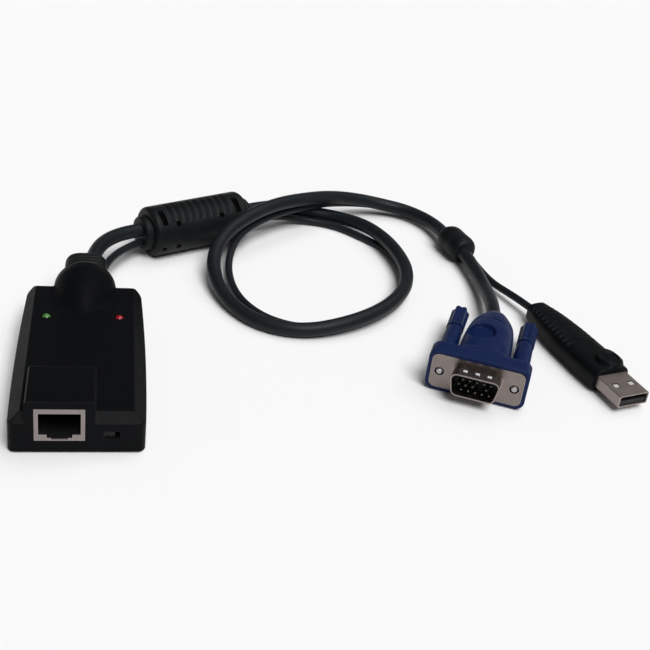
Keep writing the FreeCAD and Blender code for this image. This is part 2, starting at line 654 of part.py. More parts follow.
def contact_profile():
    """One spring contact seen from the side, as (y, z) points."""
    top = BOARD_TOP + MOUTH_SILL + MOUTH_HEIGHT + 2 * CONTACT_THICKNESS
    under = top - CONTACT_THICKNESS
    bend = FRONT_Y + MOUTH_DEPTH - CONTACT_REACH - 1
    tip = bend + CONTACT_REACH
    back = FRONT_Y + JACK_DEPTH - CONTACT_THICKNESS - FIT
    droop = under - CONTACT_DROP
    return [(back + CONTACT_THICKNESS, BOARD_TOP), (back + CONTACT_THICKNESS, top),
            (bend - CONTACT_THICKNESS, top), (bend - CONTACT_THICKNESS, under - CONTACT_THICKNESS),
            (tip, droop - CONTACT_THICKNESS), (tip, droop), (bend, under), (back, under), (back, BOARD_TOP)]


def rj45_contacts():
    """Eight gold springs that hang into the mouth from above."""
    wires = []
    for i in range(CONTACTS):
        x = JACK_X + (i - (CONTACTS - 1) / 2) * CONTACT_PITCH - CONTACT_WIDTH / 2
        wires.append(prism([(x, y, z) for y, z in contact_profile()], V(CONTACT_WIDTH, 0, 0)))
    return Part.makeCompound(wires)


def rj45_insert():
    """The plastic body in the shell: the mouth goes in from the front and the contacts sit in it."""
    back = FRONT_Y + JACK_DEPTH - CONTACT_THICKNESS - FIT
    body = box(JACK_X - JACK_WIDTH / 2 + JACK_SHEET, JACK_X + JACK_WIDTH / 2 - JACK_SHEET,
               FRONT_Y + JACK_SHEET, back, BOARD_TOP + JACK_SHEET, BOARD_TOP + JACK_HEIGHT - JACK_SHEET)
    room = mouth(FRONT_Y, FRONT_Y + MOUTH_DEPTH, 0.0)
    return body.cut([room, rj45_contacts()])


def circuit_board():
    """The green board on its four bosses."""
    board = box(-BOARD_HALF, BOARD_HALF, FRONT_Y + WALL + BOARD_FRONT_GAP, BOARD_END_Y,
                BOARD_TOP - BOARD_THICKNESS, BOARD_TOP)
    corners = [e for e in board.Edges if abs(e.tangentAt(0).z) > 0.5]
    board = board.makeFillet(FRONT_CORNER, corners)
    holes = [rod(SCREW_RADIUS + FIT, BOARD_TOP, V(x, y, 0), Z_AXIS) for x, y in screw_places()]
    return board.cut(holes)


def light(side):
    """A round indicator light on two legs."""
    x = side * LIGHT_X
    tip = TOP_Z + LIGHT_STAND
    base = tip - LIGHT_HEIGHT
    flange = rod(LIGHT_FLANGE, LIGHT_FLANGE_THICKNESS, V(x, LIGHT_Y, base), Z_AXIS)
    stem = rod(LIGHT_RADIUS, LIGHT_HEIGHT - LIGHT_RADIUS, V(x, LIGHT_Y, base), Z_AXIS)
    dome = Part.makeSphere(LIGHT_RADIUS, V(x, LIGHT_Y, tip - LIGHT_RADIUS))
    legs = [box(x + s * LEG_PITCH / 2 - LEG / 2, x + s * LEG_PITCH / 2 + LEG / 2, LIGHT_Y - LEG / 2,
                LIGHT_Y + LEG / 2, BOARD_TOP, base + LEG) for s in (-1, 1)]
    return fuse([flange, stem, dome] + legs)


def chip(x, y, width, length):
    """A flat chip on legs along its two long sides."""
    low = BOARD_TOP + CHIP_STAND
    body = box(x - width / 2, x + width / 2, y - length / 2, y + length / 2, low, low + CHIP_HEIGHT)
    count = int((length - CHIP_PITCH) / CHIP_PITCH)
    legs = []
    for i in range(count):
        spot = y + (i - (count - 1) / 2) * CHIP_PITCH
        legs.append(box(x - width / 2 - CHIP_LEG_REACH, x + width / 2 + CHIP_LEG_REACH, spot - CHIP_PITCH / 5,
                        spot + CHIP_PITCH / 5, BOARD_TOP, low + CHIP_HEIGHT / 3))
    return fuse([body] + legs)


def main_chip():
    """The chip that turns video, keyboard and mouse signals into network signals."""
    return chip(*MAIN_CHIP)


def usb_chip():
    """The smaller keyboard and mouse chip."""
    return chip(*USB_CHIP)


def crystal():
    """The clock crystal in its can."""
    x = -BOARD_HALF + CRYSTAL_LEFT
    y = CRYSTAL_Y - CRYSTAL_LENGTH / 2
    can = box(x, x + CRYSTAL_WIDTH, y, y + CRYSTAL_LENGTH, BOARD_TOP, BOARD_TOP + CRYSTAL_HEIGHT)
    return can.makeFillet(CRYSTAL_ROUND, [e for e in can.Edges if abs(e.tangentAt(0).z) > 0.5])


def line_transformer():
    """The magnetics behind the jack."""
    x = JACK_X + MAGNETICS_SHIFT
    y = FRONT_Y + JACK_DEPTH + MAGNETICS_GAP
    return box(x - MAGNETICS_WIDTH / 2, x + MAGNETICS_WIDTH / 2, y, y + MAGNETICS_LENGTH, BOARD_TOP,
               BOARD_TOP + MAGNETICS_HEIGHT)


def board_capacitors():
    """Three round cans on the board."""
    return Part.makeCompound([rod(CAPACITOR_RADIUS, CAPACITOR_HEIGHT, V(x, y, BOARD_TOP), Z_AXIS)
                              for x, y in CAPACITORS])


def header(x, y, width, length, height):
    """A pin header on the board."""
    return box(x - width / 2, x + width / 2, y - length / 2, y + length / 2, BOARD_TOP, BOARD_TOP + height)


def wire_runs():
    """The cables' cores inside the housing, from the boot down to the two headers."""
    inner = SNOUT_END_Y - NECK_WALL - BOOT_FLANGE_LENGTH
    runs = []
    for (hx, hy, _, length, height), count, exit_x, exit_z in (
            (VGA_HEADER, 4, VIDEO_POINTS[0][0], VIDEO_POINTS[0][2]),
            (USB_HEADER, 2, USB_POINTS[0][0] - WIRE_SHIFT, USB_POINTS[0][2])):
        for i in range(count):
            spread = (i - (count - 1) / 2) * WIRE_PITCH
            start = V(exit_x + spread, inner + WIRE_BITE, exit_z - WIRE_DROP)
            end = V(hx + spread, hy + length / 2 - WIRE_BITE, BOARD_TOP + height - WIRE_RADIUS - PART_GAP)
            runs.append(rod(WIRE_RADIUS, (end - start).Length, start, end - start))
    return runs


def inner_wires():
    """The group of six cores."""
    blocks = [header(*VGA_HEADER), header(*USB_HEADER)]
    return Part.makeCompound([run.cut(blocks) for run in wire_runs()])


def switch_stem_slot(width):
    """The slot in the switch body that the slider's stem runs in."""
    return box(SWITCH_X - width / 2, SWITCH_X + width / 2, FRONT_Y + WALL, FRONT_Y + WALL + 2 * STEM,
               SWITCH_Z - STEM / 2 - RUNNING_FIT, SWITCH_Z + STEM / 2 + RUNNING_FIT)


def mode_switch():
    """The body of the small slide switch, on the board behind its slot."""
    y0 = FRONT_Y + WALL + BOARD_FRONT_GAP
    body = box(SWITCH_X - SWITCH_BODY_WIDTH / 2, SWITCH_X + SWITCH_BODY_WIDTH / 2, y0, y0 + SWITCH_BODY_DEPTH,
               BOARD_TOP, BOARD_TOP + SWITCH_BODY_HEIGHT)
    return body.cut(switch_stem_slot(SLOT_WIDTH))


def switch_slider():
    """The ridged slider, at the left end of its slot."""
    x0 = SWITCH_X - SLOT_WIDTH / 2 + FIT
    front = FRONT_Y + SLIDER_SINK
    high = SLOT_HEIGHT / 2 - FIT
    knob = box(x0, x0 + SLIDER_WIDTH, front, FRONT_Y + WALL + FIT, SWITCH_Z - high, SWITCH_Z + high)
    middle = x0 + SLIDER_WIDTH / 2
    stem = box(middle - STEM, middle + STEM, FRONT_Y + WALL, FRONT_Y + WALL + 2 * STEM - FIT,
               SWITCH_Z - STEM / 2, SWITCH_Z + STEM / 2)
    gap = SLIDER_WIDTH / (2 * SLIDER_RIBS - 1)
    grooves = [box(x0 + (2 * i + 1) * gap, x0 + (2 * i + 2) * gap, front, front + gap, SWITCH_Z - high,
                   SWITCH_Z + high) for i in range(SLIDER_RIBS - 1)]
    return fuse([knob, stem]).cut(grooves)


def along_ferrite(shape):
    """Carry a shape drawn along +X at the origin to the ferrite's place."""
    placed = shape.copy()
    placed.rotate(V(0, 0, 0), Z_AXIS, FERRITE_ANGLE)
    placed.translate(V(FERRITE_X, FERRITE_Y, FERRITE_RADIUS))
    return placed


def ferrite_sleeve():
    """The moulded sleeve: a bevelled barrel with stepped ends, a grooved top and two end slots."""
    half = FERRITE_LENGTH / 2
    barrel = rod(FERRITE_RADIUS, FERRITE_LENGTH, V(-half, 0, 0), X_AXIS)
    barrel = barrel.makeChamfer(FERRITE_BEVEL, [e for e in barrel.Edges if e.Length > FERRITE_RADIUS
                                                and abs(abs(e.CenterOfMass.x) - half) < FIT])
    neck = rod(FERRITE_NECK_RADIUS, FERRITE_LENGTH + 2 * FERRITE_NECK, V(-half - FERRITE_NECK, 0, 0), X_AXIS)
    neck = neck.makeFillet(FERRITE_BEVEL, [e for e in neck.Edges if e.Length > FERRITE_NECK_RADIUS
                                           and abs(abs(e.CenterOfMass.x) - half - FERRITE_NECK) < FIT])
    sleeve = fuse([barrel, neck])
    grip = FERRITE_GRIP / 2
    cuts = []
    for i in range(FERRITE_GROOVES):
        x = (i - (FERRITE_GROOVES - 1) / 2) * FERRITE_GROOVE_PITCH
        band = rod(FERRITE_RADIUS + CUT, FERRITE_GROOVE_WIDTH, V(x - FERRITE_GROOVE_WIDTH / 2, 0, 0), X_AXIS)
        band = band.cut(rod(FERRITE_RADIUS - FERRITE_GROOVE_DEPTH, FERRITE_GROOVE_WIDTH,
                            V(x - FERRITE_GROOVE_WIDTH / 2, 0, 0), X_AXIS))
        reach = FERRITE_RADIUS + CUT
        cuts.append(band.common(box(-half, half, -reach, grip, -grip / 2, reach)))
    core = rod(FERRITE_RADIUS - SLEEVE_WALL, FERRITE_LENGTH - 2 * SLEEVE_END, V(-half + SLEEVE_END, 0, 0),
               X_AXIS)
    sleeve = along_ferrite(sleeve.cut(cuts + [core]))
    return sleeve.cut([VIDEO_CABLE, USB_CABLE])


def ferrite_core():
    """The grey ferrite cylinder that both cables run through."""
    half = FERRITE_LENGTH / 2 - SLEEVE_END
    core = rod(FERRITE_RADIUS - SLEEVE_WALL, 2 * half, V(-half, 0, 0), X_AXIS)
    bore = rod(CORE_BORE_RADIUS, 2 * half, V(-half, 0, 0), X_AXIS)
    return along_ferrite(core.cut(bore))


def cable_collar():
    """The short round moulding where the thin cable leaves the thick one."""
    collar = rod(COLLAR_RADIUS, COLLAR_LENGTH, V(-COLLAR_LENGTH / 2, 0, 0), X_AXIS)
    ends = [e for e in collar.Edges if abs(abs(e.CenterOfMass.x) - COLLAR_LENGTH / 2) < FIT
            and e.Length > COLLAR_RADIUS]
    collar = collar.makeFillet(COLLAR_ROUND, ends)
    collar.rotate(V(0, 0, 0), Z_AXIS, COLLAR_ANGLE)
    collar.translate(V(COLLAR_X, COLLAR_Y, COLLAR_RADIUS))
    return collar.cut([VIDEO_CABLE, USB_CABLE])


def moulded(sections, start, length, corner):
    """A grip lofted through rounded sections along +Y."""
    wires = [rounded_rectangle(w, h, corner, start + share * length) for share, w, h in sections]
    return Part.makeLoft(wires, True, False)


def section_at(sections, share):
    """Half width and half height of a grip at a share of its length."""
    for (s0, w0, h0), (s1, w1, h1) in zip(sections, sections[1:]):
        if share <= s1:
            t = (share - s0) / (s1 - s0)
            return w0 + (w1 - w0) * t, h0 + (h1 - h0) * t
    return sections[-1][1], sections[-1][2]


def grip_grooves(sections, start, length, corner, places, width, depth):
    """Rings cut round a grip at places measured from its cable end."""
    rings = []
    for place in places:
        y = start + length - place
        w, h = section_at(sections, (y - start) / length)
        reach = w + CUT
        ring = box(-reach, reach, y - width / 2, y + width / 2, -reach, reach)
        wires = [rounded_rectangle(w - depth, h - depth, corner, y + s * width) for s in (-1, 1)]
        rings.append(ring.cut(Part.makeLoft(wires, True, True)))
    return rings


def at_vga(shape):
    """Place a piece of the video plug."""
    return at_plug(shape, VIDEO_POINTS[-1], VGA_ANGLE, VGA_LENGTH, VGA_Z)


def at_usb(shape):
    """Place a piece of the USB plug."""
    return at_plug(shape, USB_POINTS[-1], USB_ANGLE, USB_LENGTH, USB_Z)


def plate_blank(extra, y0, y1, corner):
    """The flange's outline grown by extra, between y0 and y1."""
    wire = rounded_rectangle(PLATE_WIDTH / 2 + extra, PLATE_HEIGHT / 2 + extra, corner, y0)
    return Part.Face(wire).extrude(V(0, y1 - y0, 0))


def shell_blank(shrink, y0, y1):
    """The D shape of the plug's shell, drawn in by shrink, between y0 and y1."""
    high = SHELL_HEIGHT / 2 - shrink
    top = SHELL_WIDTH / 2 - shrink
    bottom = top - 2 * high * math.tan(math.radians(SHELL_SLOPE))
    corners = [(-bottom, y0, -high), (bottom, y0, -high), (top, y0, high), (-top, y0, high)]
    block = prism(corners, V(0, y1 - y0, 0))
    edges = [e for e in block.Edges if abs(e.tangentAt(0).y) > 0.5]
    return block.makeFillet(max(SHELL_ROUND - shrink, ROUND_LEAST), edges)


def vga_hood():
    """The blue moulding: a block round the plate and a bulging grip behind it."""
    block = plate_blank(BLOCK_MARGIN, PLATE_SINK, BLOCK_DEPTH, BLOCK_CORNER)
    rear = [e for e in block.Edges if abs(e.CenterOfMass.y - BLOCK_DEPTH) < FIT]
    block = block.makeFillet(BLOCK_MARGIN * 0.6, rear)
    start = BLOCK_DEPTH - 1.0
    length = VGA_LENGTH - start
    grip = moulded(HOOD_SECTIONS, start, length, HOOD_CORNER)
    hood = fuse([block, grip])
    plate = plate_blank(FIT / 2, -CUT, PLATE_THICKNESS, PLATE_CORNER)
    pins = shell_blank(SHELL_SHEET, 0, PIN_BACK)
    bores = [rod(THREAD_RADIUS + RUNNING_FIT, VGA_LENGTH, V(s * SCREW_SPACING / 2, 0, 0), Y_AXIS)
             for s in (-1, 1)]
    dish = Part.Ellipse(V(0, 0, 0), THUMB_LENGTH / 2, THUMB_WIDTH / 2).toShape()
    dish = Part.Face(Part.Wire(dish)).extrude(V(0, 0, CUT))
    dish.rotate(V(0, 0, 0), Z_AXIS, 90)
    _, high = section_at(HOOD_SECTIONS, (THUMB_Y - start) / length)
    dish.translate(V(0, THUMB_Y, high - THUMB_DEPTH))
    places = [HOOD_FIRST_GROOVE + i * HOOD_GROOVE_PITCH for i in range(HOOD_GROOVES)]
    rings = grip_grooves(HOOD_SECTIONS, start, length, HOOD_CORNER, places, HOOD_GROOVE_WIDTH,
                         HOOD_GROOVE_DEPTH)
    hood = at_vga(hood.cut([plate, pins, dish] + bores + rings))
    return hood.cut(VIDEO_CABLE)


def vga_shell():
    """The plate and the D-shaped shell, pressed from one sheet."""
    plate = plate_blank(0.0, 0.0, PLATE_THICKNESS, PLATE_CORNER)
    root = shell_blank(-SHELL_STEP, -SHELL_STEP, PLATE_THICKNESS)
    shell = shell_blank(0.0, -SHELL_OUT, PLATE_THICKNESS)
    solid = fuse([plate, root, shell])
    holes = [rod(PLATE_HOLE, 4 * PLATE_THICKNESS, V(s * SCREW_SPACING / 2, -PLATE_THICKNESS, 0), Y_AXIS)
             for s in (-1, 1)]
    inside = shell_blank(SHELL_SHEET, -SHELL_OUT - CUT, PLATE_THICKNESS)
    return at_vga(solid.cut(holes + [inside]))


def pin_places():
    """The fourteen pins as (x, z); one place in the middle row is empty."""
    places = []
    for row in (1, 0, -1):
        shift = PIN_PITCH / 4 if row else -PIN_PITCH / 4
        for i in range(5):
            if row == 0 and i == MISSING_PIN:
                continue
            places.append(((i - 2) * PIN_PITCH + shift, row * PIN_ROW))
    return places


def pin(x, z):
    """One round pin with a rounded tip."""
    shank = rod(PIN_RADIUS, PIN_OUT + PIN_BACK - PIN_RADIUS, V(x, -PIN_OUT + PIN_RADIUS, z), Y_AXIS)
    return fuse([shank, Part.makeSphere(PIN_RADIUS, V(x, -PIN_OUT + PIN_RADIUS, z))])


def vga_insert():
    """The black insert that carries the pins."""
    body = shell_blank(SHELL_SHEET, -INSERT_SINK, PIN_BACK)
    holes = [rod(PIN_RADIUS, 2 * CUT, V(x, -CUT, z), Y_AXIS) for x, z in pin_places()]
    return at_vga(body.cut(holes))


def vga_pins():
    """The group of fourteen pins."""
    return at_vga(Part.makeCompound([pin(x, z) for x, z in pin_places()]))


def thumbscrew_pin(side):
    """The steel screw of one thumbscrew."""
    x = side * SCREW_SPACING / 2
    length = KNOB_END_Y - KNOB_HEAD / 2 + THREAD_OUT
    screw = rod(THREAD_RADIUS, length, V(x, -THREAD_OUT, 0), Y_AXIS)
    tip = [e for e in screw.Edges if abs(e.CenterOfMass.y + THREAD_OUT) < FIT and e.Length > THREAD_RADIUS]
    return screw.makeChamfer(THREAD_RADIUS * 0.35, tip)


def thumbscrew_knob(side):
    """The blue fluted knob moulded on the screw."""
    x = side * SCREW_SPACING / 2
    start = BLOCK_DEPTH + PART_GAP
    shoulder = KNOB_END_Y - KNOB_HEAD
    axis = V(x, 0, 0)
    profile = [
        (start, 0), (start, KNOB_RADIUS - KNOB_RING), (start + 1, KNOB_RADIUS),
        (shoulder - 1, KNOB_RADIUS - KNOB_TAPER), (shoulder - 1, KNOB_RADIUS - KNOB_RING - KNOB_TAPER),
        (shoulder, KNOB_RADIUS - KNOB_RING - KNOB_TAPER), (shoulder, KNOB_RADIUS - KNOB_RING / 4),
        (KNOB_END_Y - 1, KNOB_RADIUS - KNOB_RING / 4), (KNOB_END_Y, KNOB_RADIUS - 1), (KNOB_END_Y, 0),
    ]
    knob = turned(profile, axis)
    flutes = []
    for i in range(KNOB_FLUTES):
        a = 2 * math.pi * (i + 0.5) / KNOB_FLUTES
        spot = V(x + KNOB_RADIUS * math.cos(a), shoulder + 1, KNOB_RADIUS * math.sin(a))
        flutes.append(rod(FLUTE_RADIUS, KNOB_HEAD, spot, Y_AXIS))
    bore = rod(THREAD_RADIUS, KNOB_END_Y - KNOB_HEAD / 2, V(x, 0, 0), Y_AXIS)
    return knob.cut(flutes + [bore])


def usb_boot():
    """The black grip of the USB plug: ribbed towards the cable, with a raised dished pad in front."""
    start = USB_SHELL_OUT
    length = USB_LENGTH - start
    grip = moulded(USB_SECTIONS, start, length, USB_CORNER)
    _, high = section_at(USB_SECTIONS, (PAD_Y - start) / length)
    pad = Part.Ellipse(V(0, 0, 0), PAD_LENGTH / 2, PAD_WIDTH / 2).toShape()
    pad = Part.Face(Part.Wire(pad)).extrude(V(0, 0, high + PAD_HEIGHT))
    pad.rotate(V(0, 0, 0), Z_AXIS, 90)
    pad.translate(V(0, PAD_Y, 0))
    pad = pad.makeFillet(PAD_HEIGHT * 0.4, [e for e in pad.Edges if e.BoundBox.ZMin > high])
    dish = Part.Ellipse(V(0, 0, 0), PAD_LENGTH / 2 - PAD_RIM, PAD_WIDTH / 2 - PAD_RIM).toShape()
    dish = Part.Face(Part.Wire(dish)).extrude(V(0, 0, CUT))
    dish.rotate(V(0, 0, 0), Z_AXIS, 90)
    dish.translate(V(0, PAD_Y, high + PAD_HEIGHT - PAD_DISH))
    places = [USB_GROOVE_START + i * USB_GROOVE_PITCH for i in range(USB_GROOVES)]
    rings = grip_grooves(USB_SECTIONS, start, length, USB_CORNER, places, USB_GROOVE_WIDTH, USB_GROOVE_DEPTH)
    pocket = usb_blank(0.0, 0.0, USB_SHELL_OUT + USB_SHELL_IN)
    grip = at_usb(fuse([grip, pad]).cut([dish, pocket] + rings))
    return grip.cut(USB_CABLE)


def usb_blank(shrink, y0, y1):
    """The plug's metal outline drawn in by shrink, between y0 and y1."""
    wire = rounded_rectangle(USB_SHELL_WIDTH / 2 - shrink, USB_SHELL_HEIGHT / 2 - shrink, USB_ROUND, y0)
    return Part.Face(wire).extrude(V(0, y1 - y0, 0))


def usb_shell():
    """The folded metal shell with its four square windows."""
    end = USB_SHELL_OUT + USB_SHELL_IN
    tube = usb_blank(0.0, 0.0, end).cut(usb_blank(USB_SHEET, -CUT, end + CUT))
    windows = [box(s * USB_WINDOW_SPACING / 2 - USB_WINDOW / 2, s * USB_WINDOW_SPACING / 2 + USB_WINDOW / 2,
                   USB_WINDOW_Y - USB_WINDOW / 2, USB_WINDOW_Y + USB_WINDOW / 2, 0, USB_SHELL_HEIGHT)
               for s in (-1, 1)]
    return at_usb(tube.cut(windows))


def tongue_top():
    """Height of the tongue's contact face in the plug's own frame."""
    return -USB_SHELL_HEIGHT / 2 + USB_SHEET + TONGUE_HEIGHT


def usb_tongue():
    """The plastic tongue on the floor of the shell, with a block behind it that fills the shell."""
    half = USB_SHELL_WIDTH / 2 - USB_SHEET
    low = -USB_SHELL_HEIGHT / 2 + USB_SHEET
    tongue = box(-half, half, TONGUE_SINK, USB_SHELL_OUT, low, tongue_top())
    block = box(-half, half, USB_SHELL_OUT, USB_SHELL_OUT + USB_SHELL_IN, low, -low)
    inside = usb_blank(USB_SHEET, 0, USB_SHELL_OUT + USB_SHELL_IN)
    return at_usb(fuse([tongue, block]).common(inside))


def usb_contacts():
    """Four flat contacts on the tongue."""
    strips = []
    for i in range(USB_CONTACTS):
        x = (i - (USB_CONTACTS - 1) / 2) * USB_CONTACT_PITCH
        strips.append(box(x - USB_CONTACT_WIDTH / 2, x + USB_CONTACT_WIDTH / 2, 2 * TONGUE_SINK + 1,
                          USB_SHELL_OUT, tongue_top(), tongue_top() + USB_SHEET / 2))
    return at_usb(Part.makeCompound(strips))


NODES = {
    "top_cover": top_cover,
    "bottom_cover": bottom_cover,
    "cover_screws": cover_screws,
    "cable_boot": cable_boot,
    "rj45_shield": rj45_shield,
    "rj45_insert": rj45_insert,
    "rj45_contacts": rj45_contacts,
    "circuit_board": circuit_board,
    "link_led": lambda: light(-1),
    "power_led": lambda: light(1),
    "main_chip": main_chip,
    "usb_chip": usb_chip,
    "crystal": crystal,
    "line_transformer": line_transformer,
    "board_capacitors": board_capacitors,
    "vga_header": lambda: header(*VGA_HEADER),
    "usb_header": lambda: header(*USB_HEADER),
    "inner_wires": inner_wires,
    "mode_switch": mode_switch,
    "switch_slider": switch_slider,
    "video_cable": lambda: VIDEO_CABLE,
    "usb_cable": lambda: USB_CABLE,
    "ferrite_sleeve": ferrite_sleeve,
    "ferrite_core": ferrite_core,
    "cable_collar": cable_collar,
    "vga_hood": vga_hood,
    "vga_shell": vga_shell,
    "vga_insert": vga_insert,
    "vga_pins": vga_pins,
    "left_screw": lambda: at_vga(thumbscrew_pin(-1)),
    "left_knob": lambda: at_vga(thumbscrew_knob(-1)),
    "right_screw": lambda: at_vga(thumbscrew_pin(1)),
    "right_knob": lambda: at_vga(thumbscrew_knob(1)),
    "usb_boot": usb_boot,
    "usb_shell": usb_shell,
    "usb_tongue": usb_tongue,
    "usb_contacts": usb_contacts,
}

os.makedirs("parts", exist_ok=True)
for node, make in NODES.items():
    shape = make()
    shape.exportStep("parts/%s.step" % node)
    bounds = shape.BoundBox
    print("%-18s %8.1f mm3  %2d solids  %s  z %.2f to %.2f" % (
        node, shape.Volume, len(shape.Solids), "valid" if shape.isValid() else "NOT VALID",
        bounds.ZMin, bounds.ZMax))
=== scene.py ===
"""The looks of a small server adapter with a network jack, a video lead and a USB lead.

The model's frame is in metres, +Z up, with the jack facing -Y. Shapes are drawn in millimetres
and brought to metres where they become pieces. Sizes in settings and materials are in metres.
"""
import math

import bpy
import numpy as np
from bpy.props import FloatProperty, FloatVectorProperty, PointerProperty
from mathutils import Matrix


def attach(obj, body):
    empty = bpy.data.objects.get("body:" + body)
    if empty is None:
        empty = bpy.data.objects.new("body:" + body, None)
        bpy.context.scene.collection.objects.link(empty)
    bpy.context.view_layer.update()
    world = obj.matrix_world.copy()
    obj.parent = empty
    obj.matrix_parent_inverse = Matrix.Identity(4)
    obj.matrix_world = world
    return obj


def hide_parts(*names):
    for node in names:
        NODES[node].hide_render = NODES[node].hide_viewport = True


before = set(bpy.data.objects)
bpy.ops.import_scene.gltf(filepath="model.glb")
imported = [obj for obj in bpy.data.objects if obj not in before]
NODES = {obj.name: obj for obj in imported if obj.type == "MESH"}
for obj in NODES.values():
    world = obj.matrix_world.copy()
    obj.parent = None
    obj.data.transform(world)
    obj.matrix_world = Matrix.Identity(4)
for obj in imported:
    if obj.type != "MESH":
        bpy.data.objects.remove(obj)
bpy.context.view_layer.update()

bl_info = {
    "name": "Server adapter looks",
    "version": (1, 0, 0),
    "blender": (4, 5, 0),
    "location": "View3D > Sidebar > Adapter",
    "description": "Cords, mouldings and finishes of a server adapter around its CAD model",
    "category": "Object",
}

MM = 0.001
ROOT = "adapter"

# Control points of the two cables, from the boot to the plugs, in millimetres
VIDEO_POINTS = [
    (1.2, 42.5, 11.9), (2.0, 51.5, 12.3), (4.6, 62.0, 12.3), (9.8, 70.3, 11.7), (17.2, 76.2, 11.1),
    (66.6, 101.0, 11.1), (77.2, 109.6, 7.8), (89.3, 114.2, 3.6), (101.2, 111.4, 3.1),
    (110.9, 101.1, 4.9), (116.6, 88.0, 5.7), (119.9, 73.9, 5.7), (120.2, 59.5, 5.6),
    (115.5, 44.5, 5.6), (104.5, 31.0, 5.4), (90.0, 22.5, 4.6), (74.5, 19.6, 2.9), (61.0, 24.0, 2.7),
    (51.5, 35.0, 2.8), (46.3, 49.0, 4.2), (45.4, 63.3, 7.4), (50.6, 75.4, 11.8), (60.9, 84.4, 15.5),
    (72.4, 94.4, 16.0), (84.8, 103.2, 14.6), (97.0, 112.6, 11.8), (109.6, 118.8, 8.4),
    (121.5, 121.0, 5.4), (132.6, 118.2, 4.2), (141.0, 108.1, 4.2), (143.6, 94.4, 5.4),
    (147.7, 76.9, 5.4), (148.9, 64.0, 4.6), (148.6, 52.0, 5.0), (147.4, 40.2, 6.6),
    (145.4, 29.2, 7.9), (142.6, 18.9, 8.0),
]
USB_POINTS = [
    (4.6, 42.5, 8.3), (5.8, 51.8, 7.9), (9.2, 62.5, 7.4), (14.6, 70.8, 6.9), (22.4, 78.8, 6.6),
    (65.7, 100.5, 6.6), (77.0, 106.8, 4.7), (89.0, 109.6, 1.9), (100.5, 105.8, 1.5),
    (109.3, 96.7, 1.5), (117.0, 87.6, 1.5), (121.0, 74.0, 1.5), (120.9, 59.5, 1.5),
    (115.5, 45.5, 1.5), (104.5, 33.0, 1.5), (90.0, 25.5, 1.5), (75.5, 24.0, 1.5), (64.0, 29.0, 1.5),
    (56.0, 39.5, 1.5), (52.0, 53.0, 1.9), (51.6, 66.7, 4.2), (56.0, 80.0, 8.3), (65.8, 90.0, 10.7),
    (79.2, 101.2, 10.4), (93.0, 112.4, 8.2), (106.5, 121.2, 5.2), (120.0, 124.6, 3.2),
    (133.8, 121.8, 2.2), (143.9, 111.2, 2.2), (147.6, 99.8, 2.8), (149.6, 84.0, 3.6),
    (152.2, 71.0, 2.4), (154.2, 59.0, 2.8), (157.6, 50.5, 3.6), (161.3, 41.2, 4.4),
    (164.8, 32.2, 4.6),
]

# Where each plug's metal face and each cable moulding's middle is, in millimetres, and its turn
# about the vertical, in degrees
VIDEO_PLUG = ((126.489, -16.617, 8.0), -24.4)
USB_PLUG = ((180.184, -22.165, 4.6), 15.8)
FERRITE = ((39.75, 87.5, 9.5), 26.7)
COLLAR = ((146.2, 85.9, 5.45), -74.5)

# The lid's top face, the snout that swells out of it and the boot's rear end, in millimetres
LID_Z = 13.0
SNOUT_Z = 11.0
SNOUT_Y = 31.0
SNOUT_RADIUS = 10.304
SNOUT_FRONT = 17.5
BOOT_END = 45.0

# Along each plug's grip, from its metal face: distance, half width and half height in millimetres
HOOD_SECTIONS = [(6.2, 8.9, 6.45), (10.5, 8.9, 6.75), (14.5, 8.85, 7.1), (20.3, 8.7, 6.9),
                 (28.1, 8.2, 6.5), (34.4, 7.2, 5.8), (38.7, 5.6, 4.9), (41.5, 4.2, 4.1)]
GRIP_SECTIONS = [(12.6, 7.2, 4.4), (18.2, 7.5, 4.5), (28.8, 7.4, 4.5), (41.4, 6.9, 4.45),
                 (52.0, 5.6, 4.2), (59.0, 4.1, 3.7)]

# A thumbscrew from the plug's metal face: distance and radius in millimetres. The knob's barrel
# ends in a ring line, behind which its head begins
KNOB_SECTIONS = [(7.5, 2.6), (8.0, 3.0), (8.6, 3.2), (20.0, 3.02), (27.9, 2.85), (28.1, 2.5),
                 (28.7, 2.5), (28.9, 3.1), (41.0, 3.2)]
SCREW_SECTIONS = [(-0.4, 0.7), (-0.38, 0.82), (-0.3, 0.9), (0.25, 0.92), (0.7, 1.28)]
SCREW_SPACING = 24.99

# The view: turn, downward look and tilt in degrees, place in metres, lens and film in millimetres
VIEW_ANGLES = (12.51, 30.7, 7.7)
VIEW_SPOT = (0.0087, -0.3101, 0.2063)
VIEW_LENS = 62.69
VIEW_FILM = 36.0

# The floor's middle, its radius and its bend up into the wall, in metres
FLOOR_MIDDLE = (0.08, 0.03)
FLOOR_RADIUS = 1.5
WALL_BEND = 0.2

# Each soft sun's direction, height and width in the sky, in degrees
KEY_SUN = (290.0, 57.0, 34.0)
FILL_SUN = (20.0, 66.0, 55.0)


class Value:
    """A number in a material. Python's operators on it each add one Math node."""

    def __init__(self, finish, socket):
        self.finish = finish
        self.socket = socket

    def __add__(self, other):
        return self.finish.math("ADD", self, other)

    def __radd__(self, other):
        return self.finish.math("ADD", other, self)

    def __sub__(self, other):
        return self.finish.math("SUBTRACT", self, other)

    def __rsub__(self, other):
        return self.finish.math("SUBTRACT", other, self)

    def __mul__(self, other):
        return self.finish.math("MULTIPLY", self, other)

    def __rmul__(self, other):
        return self.finish.math("MULTIPLY", other, self)

    def over(self, level, spread):
        """0 below level and 1 above level plus spread, with a soft step between."""
        return self.finish.node("ShaderNodeMapRange", "Result", {"interpolation_type": "SMOOTHSTEP"},
                                {"Value": self, "From Min": level, "From Max": level + spread})


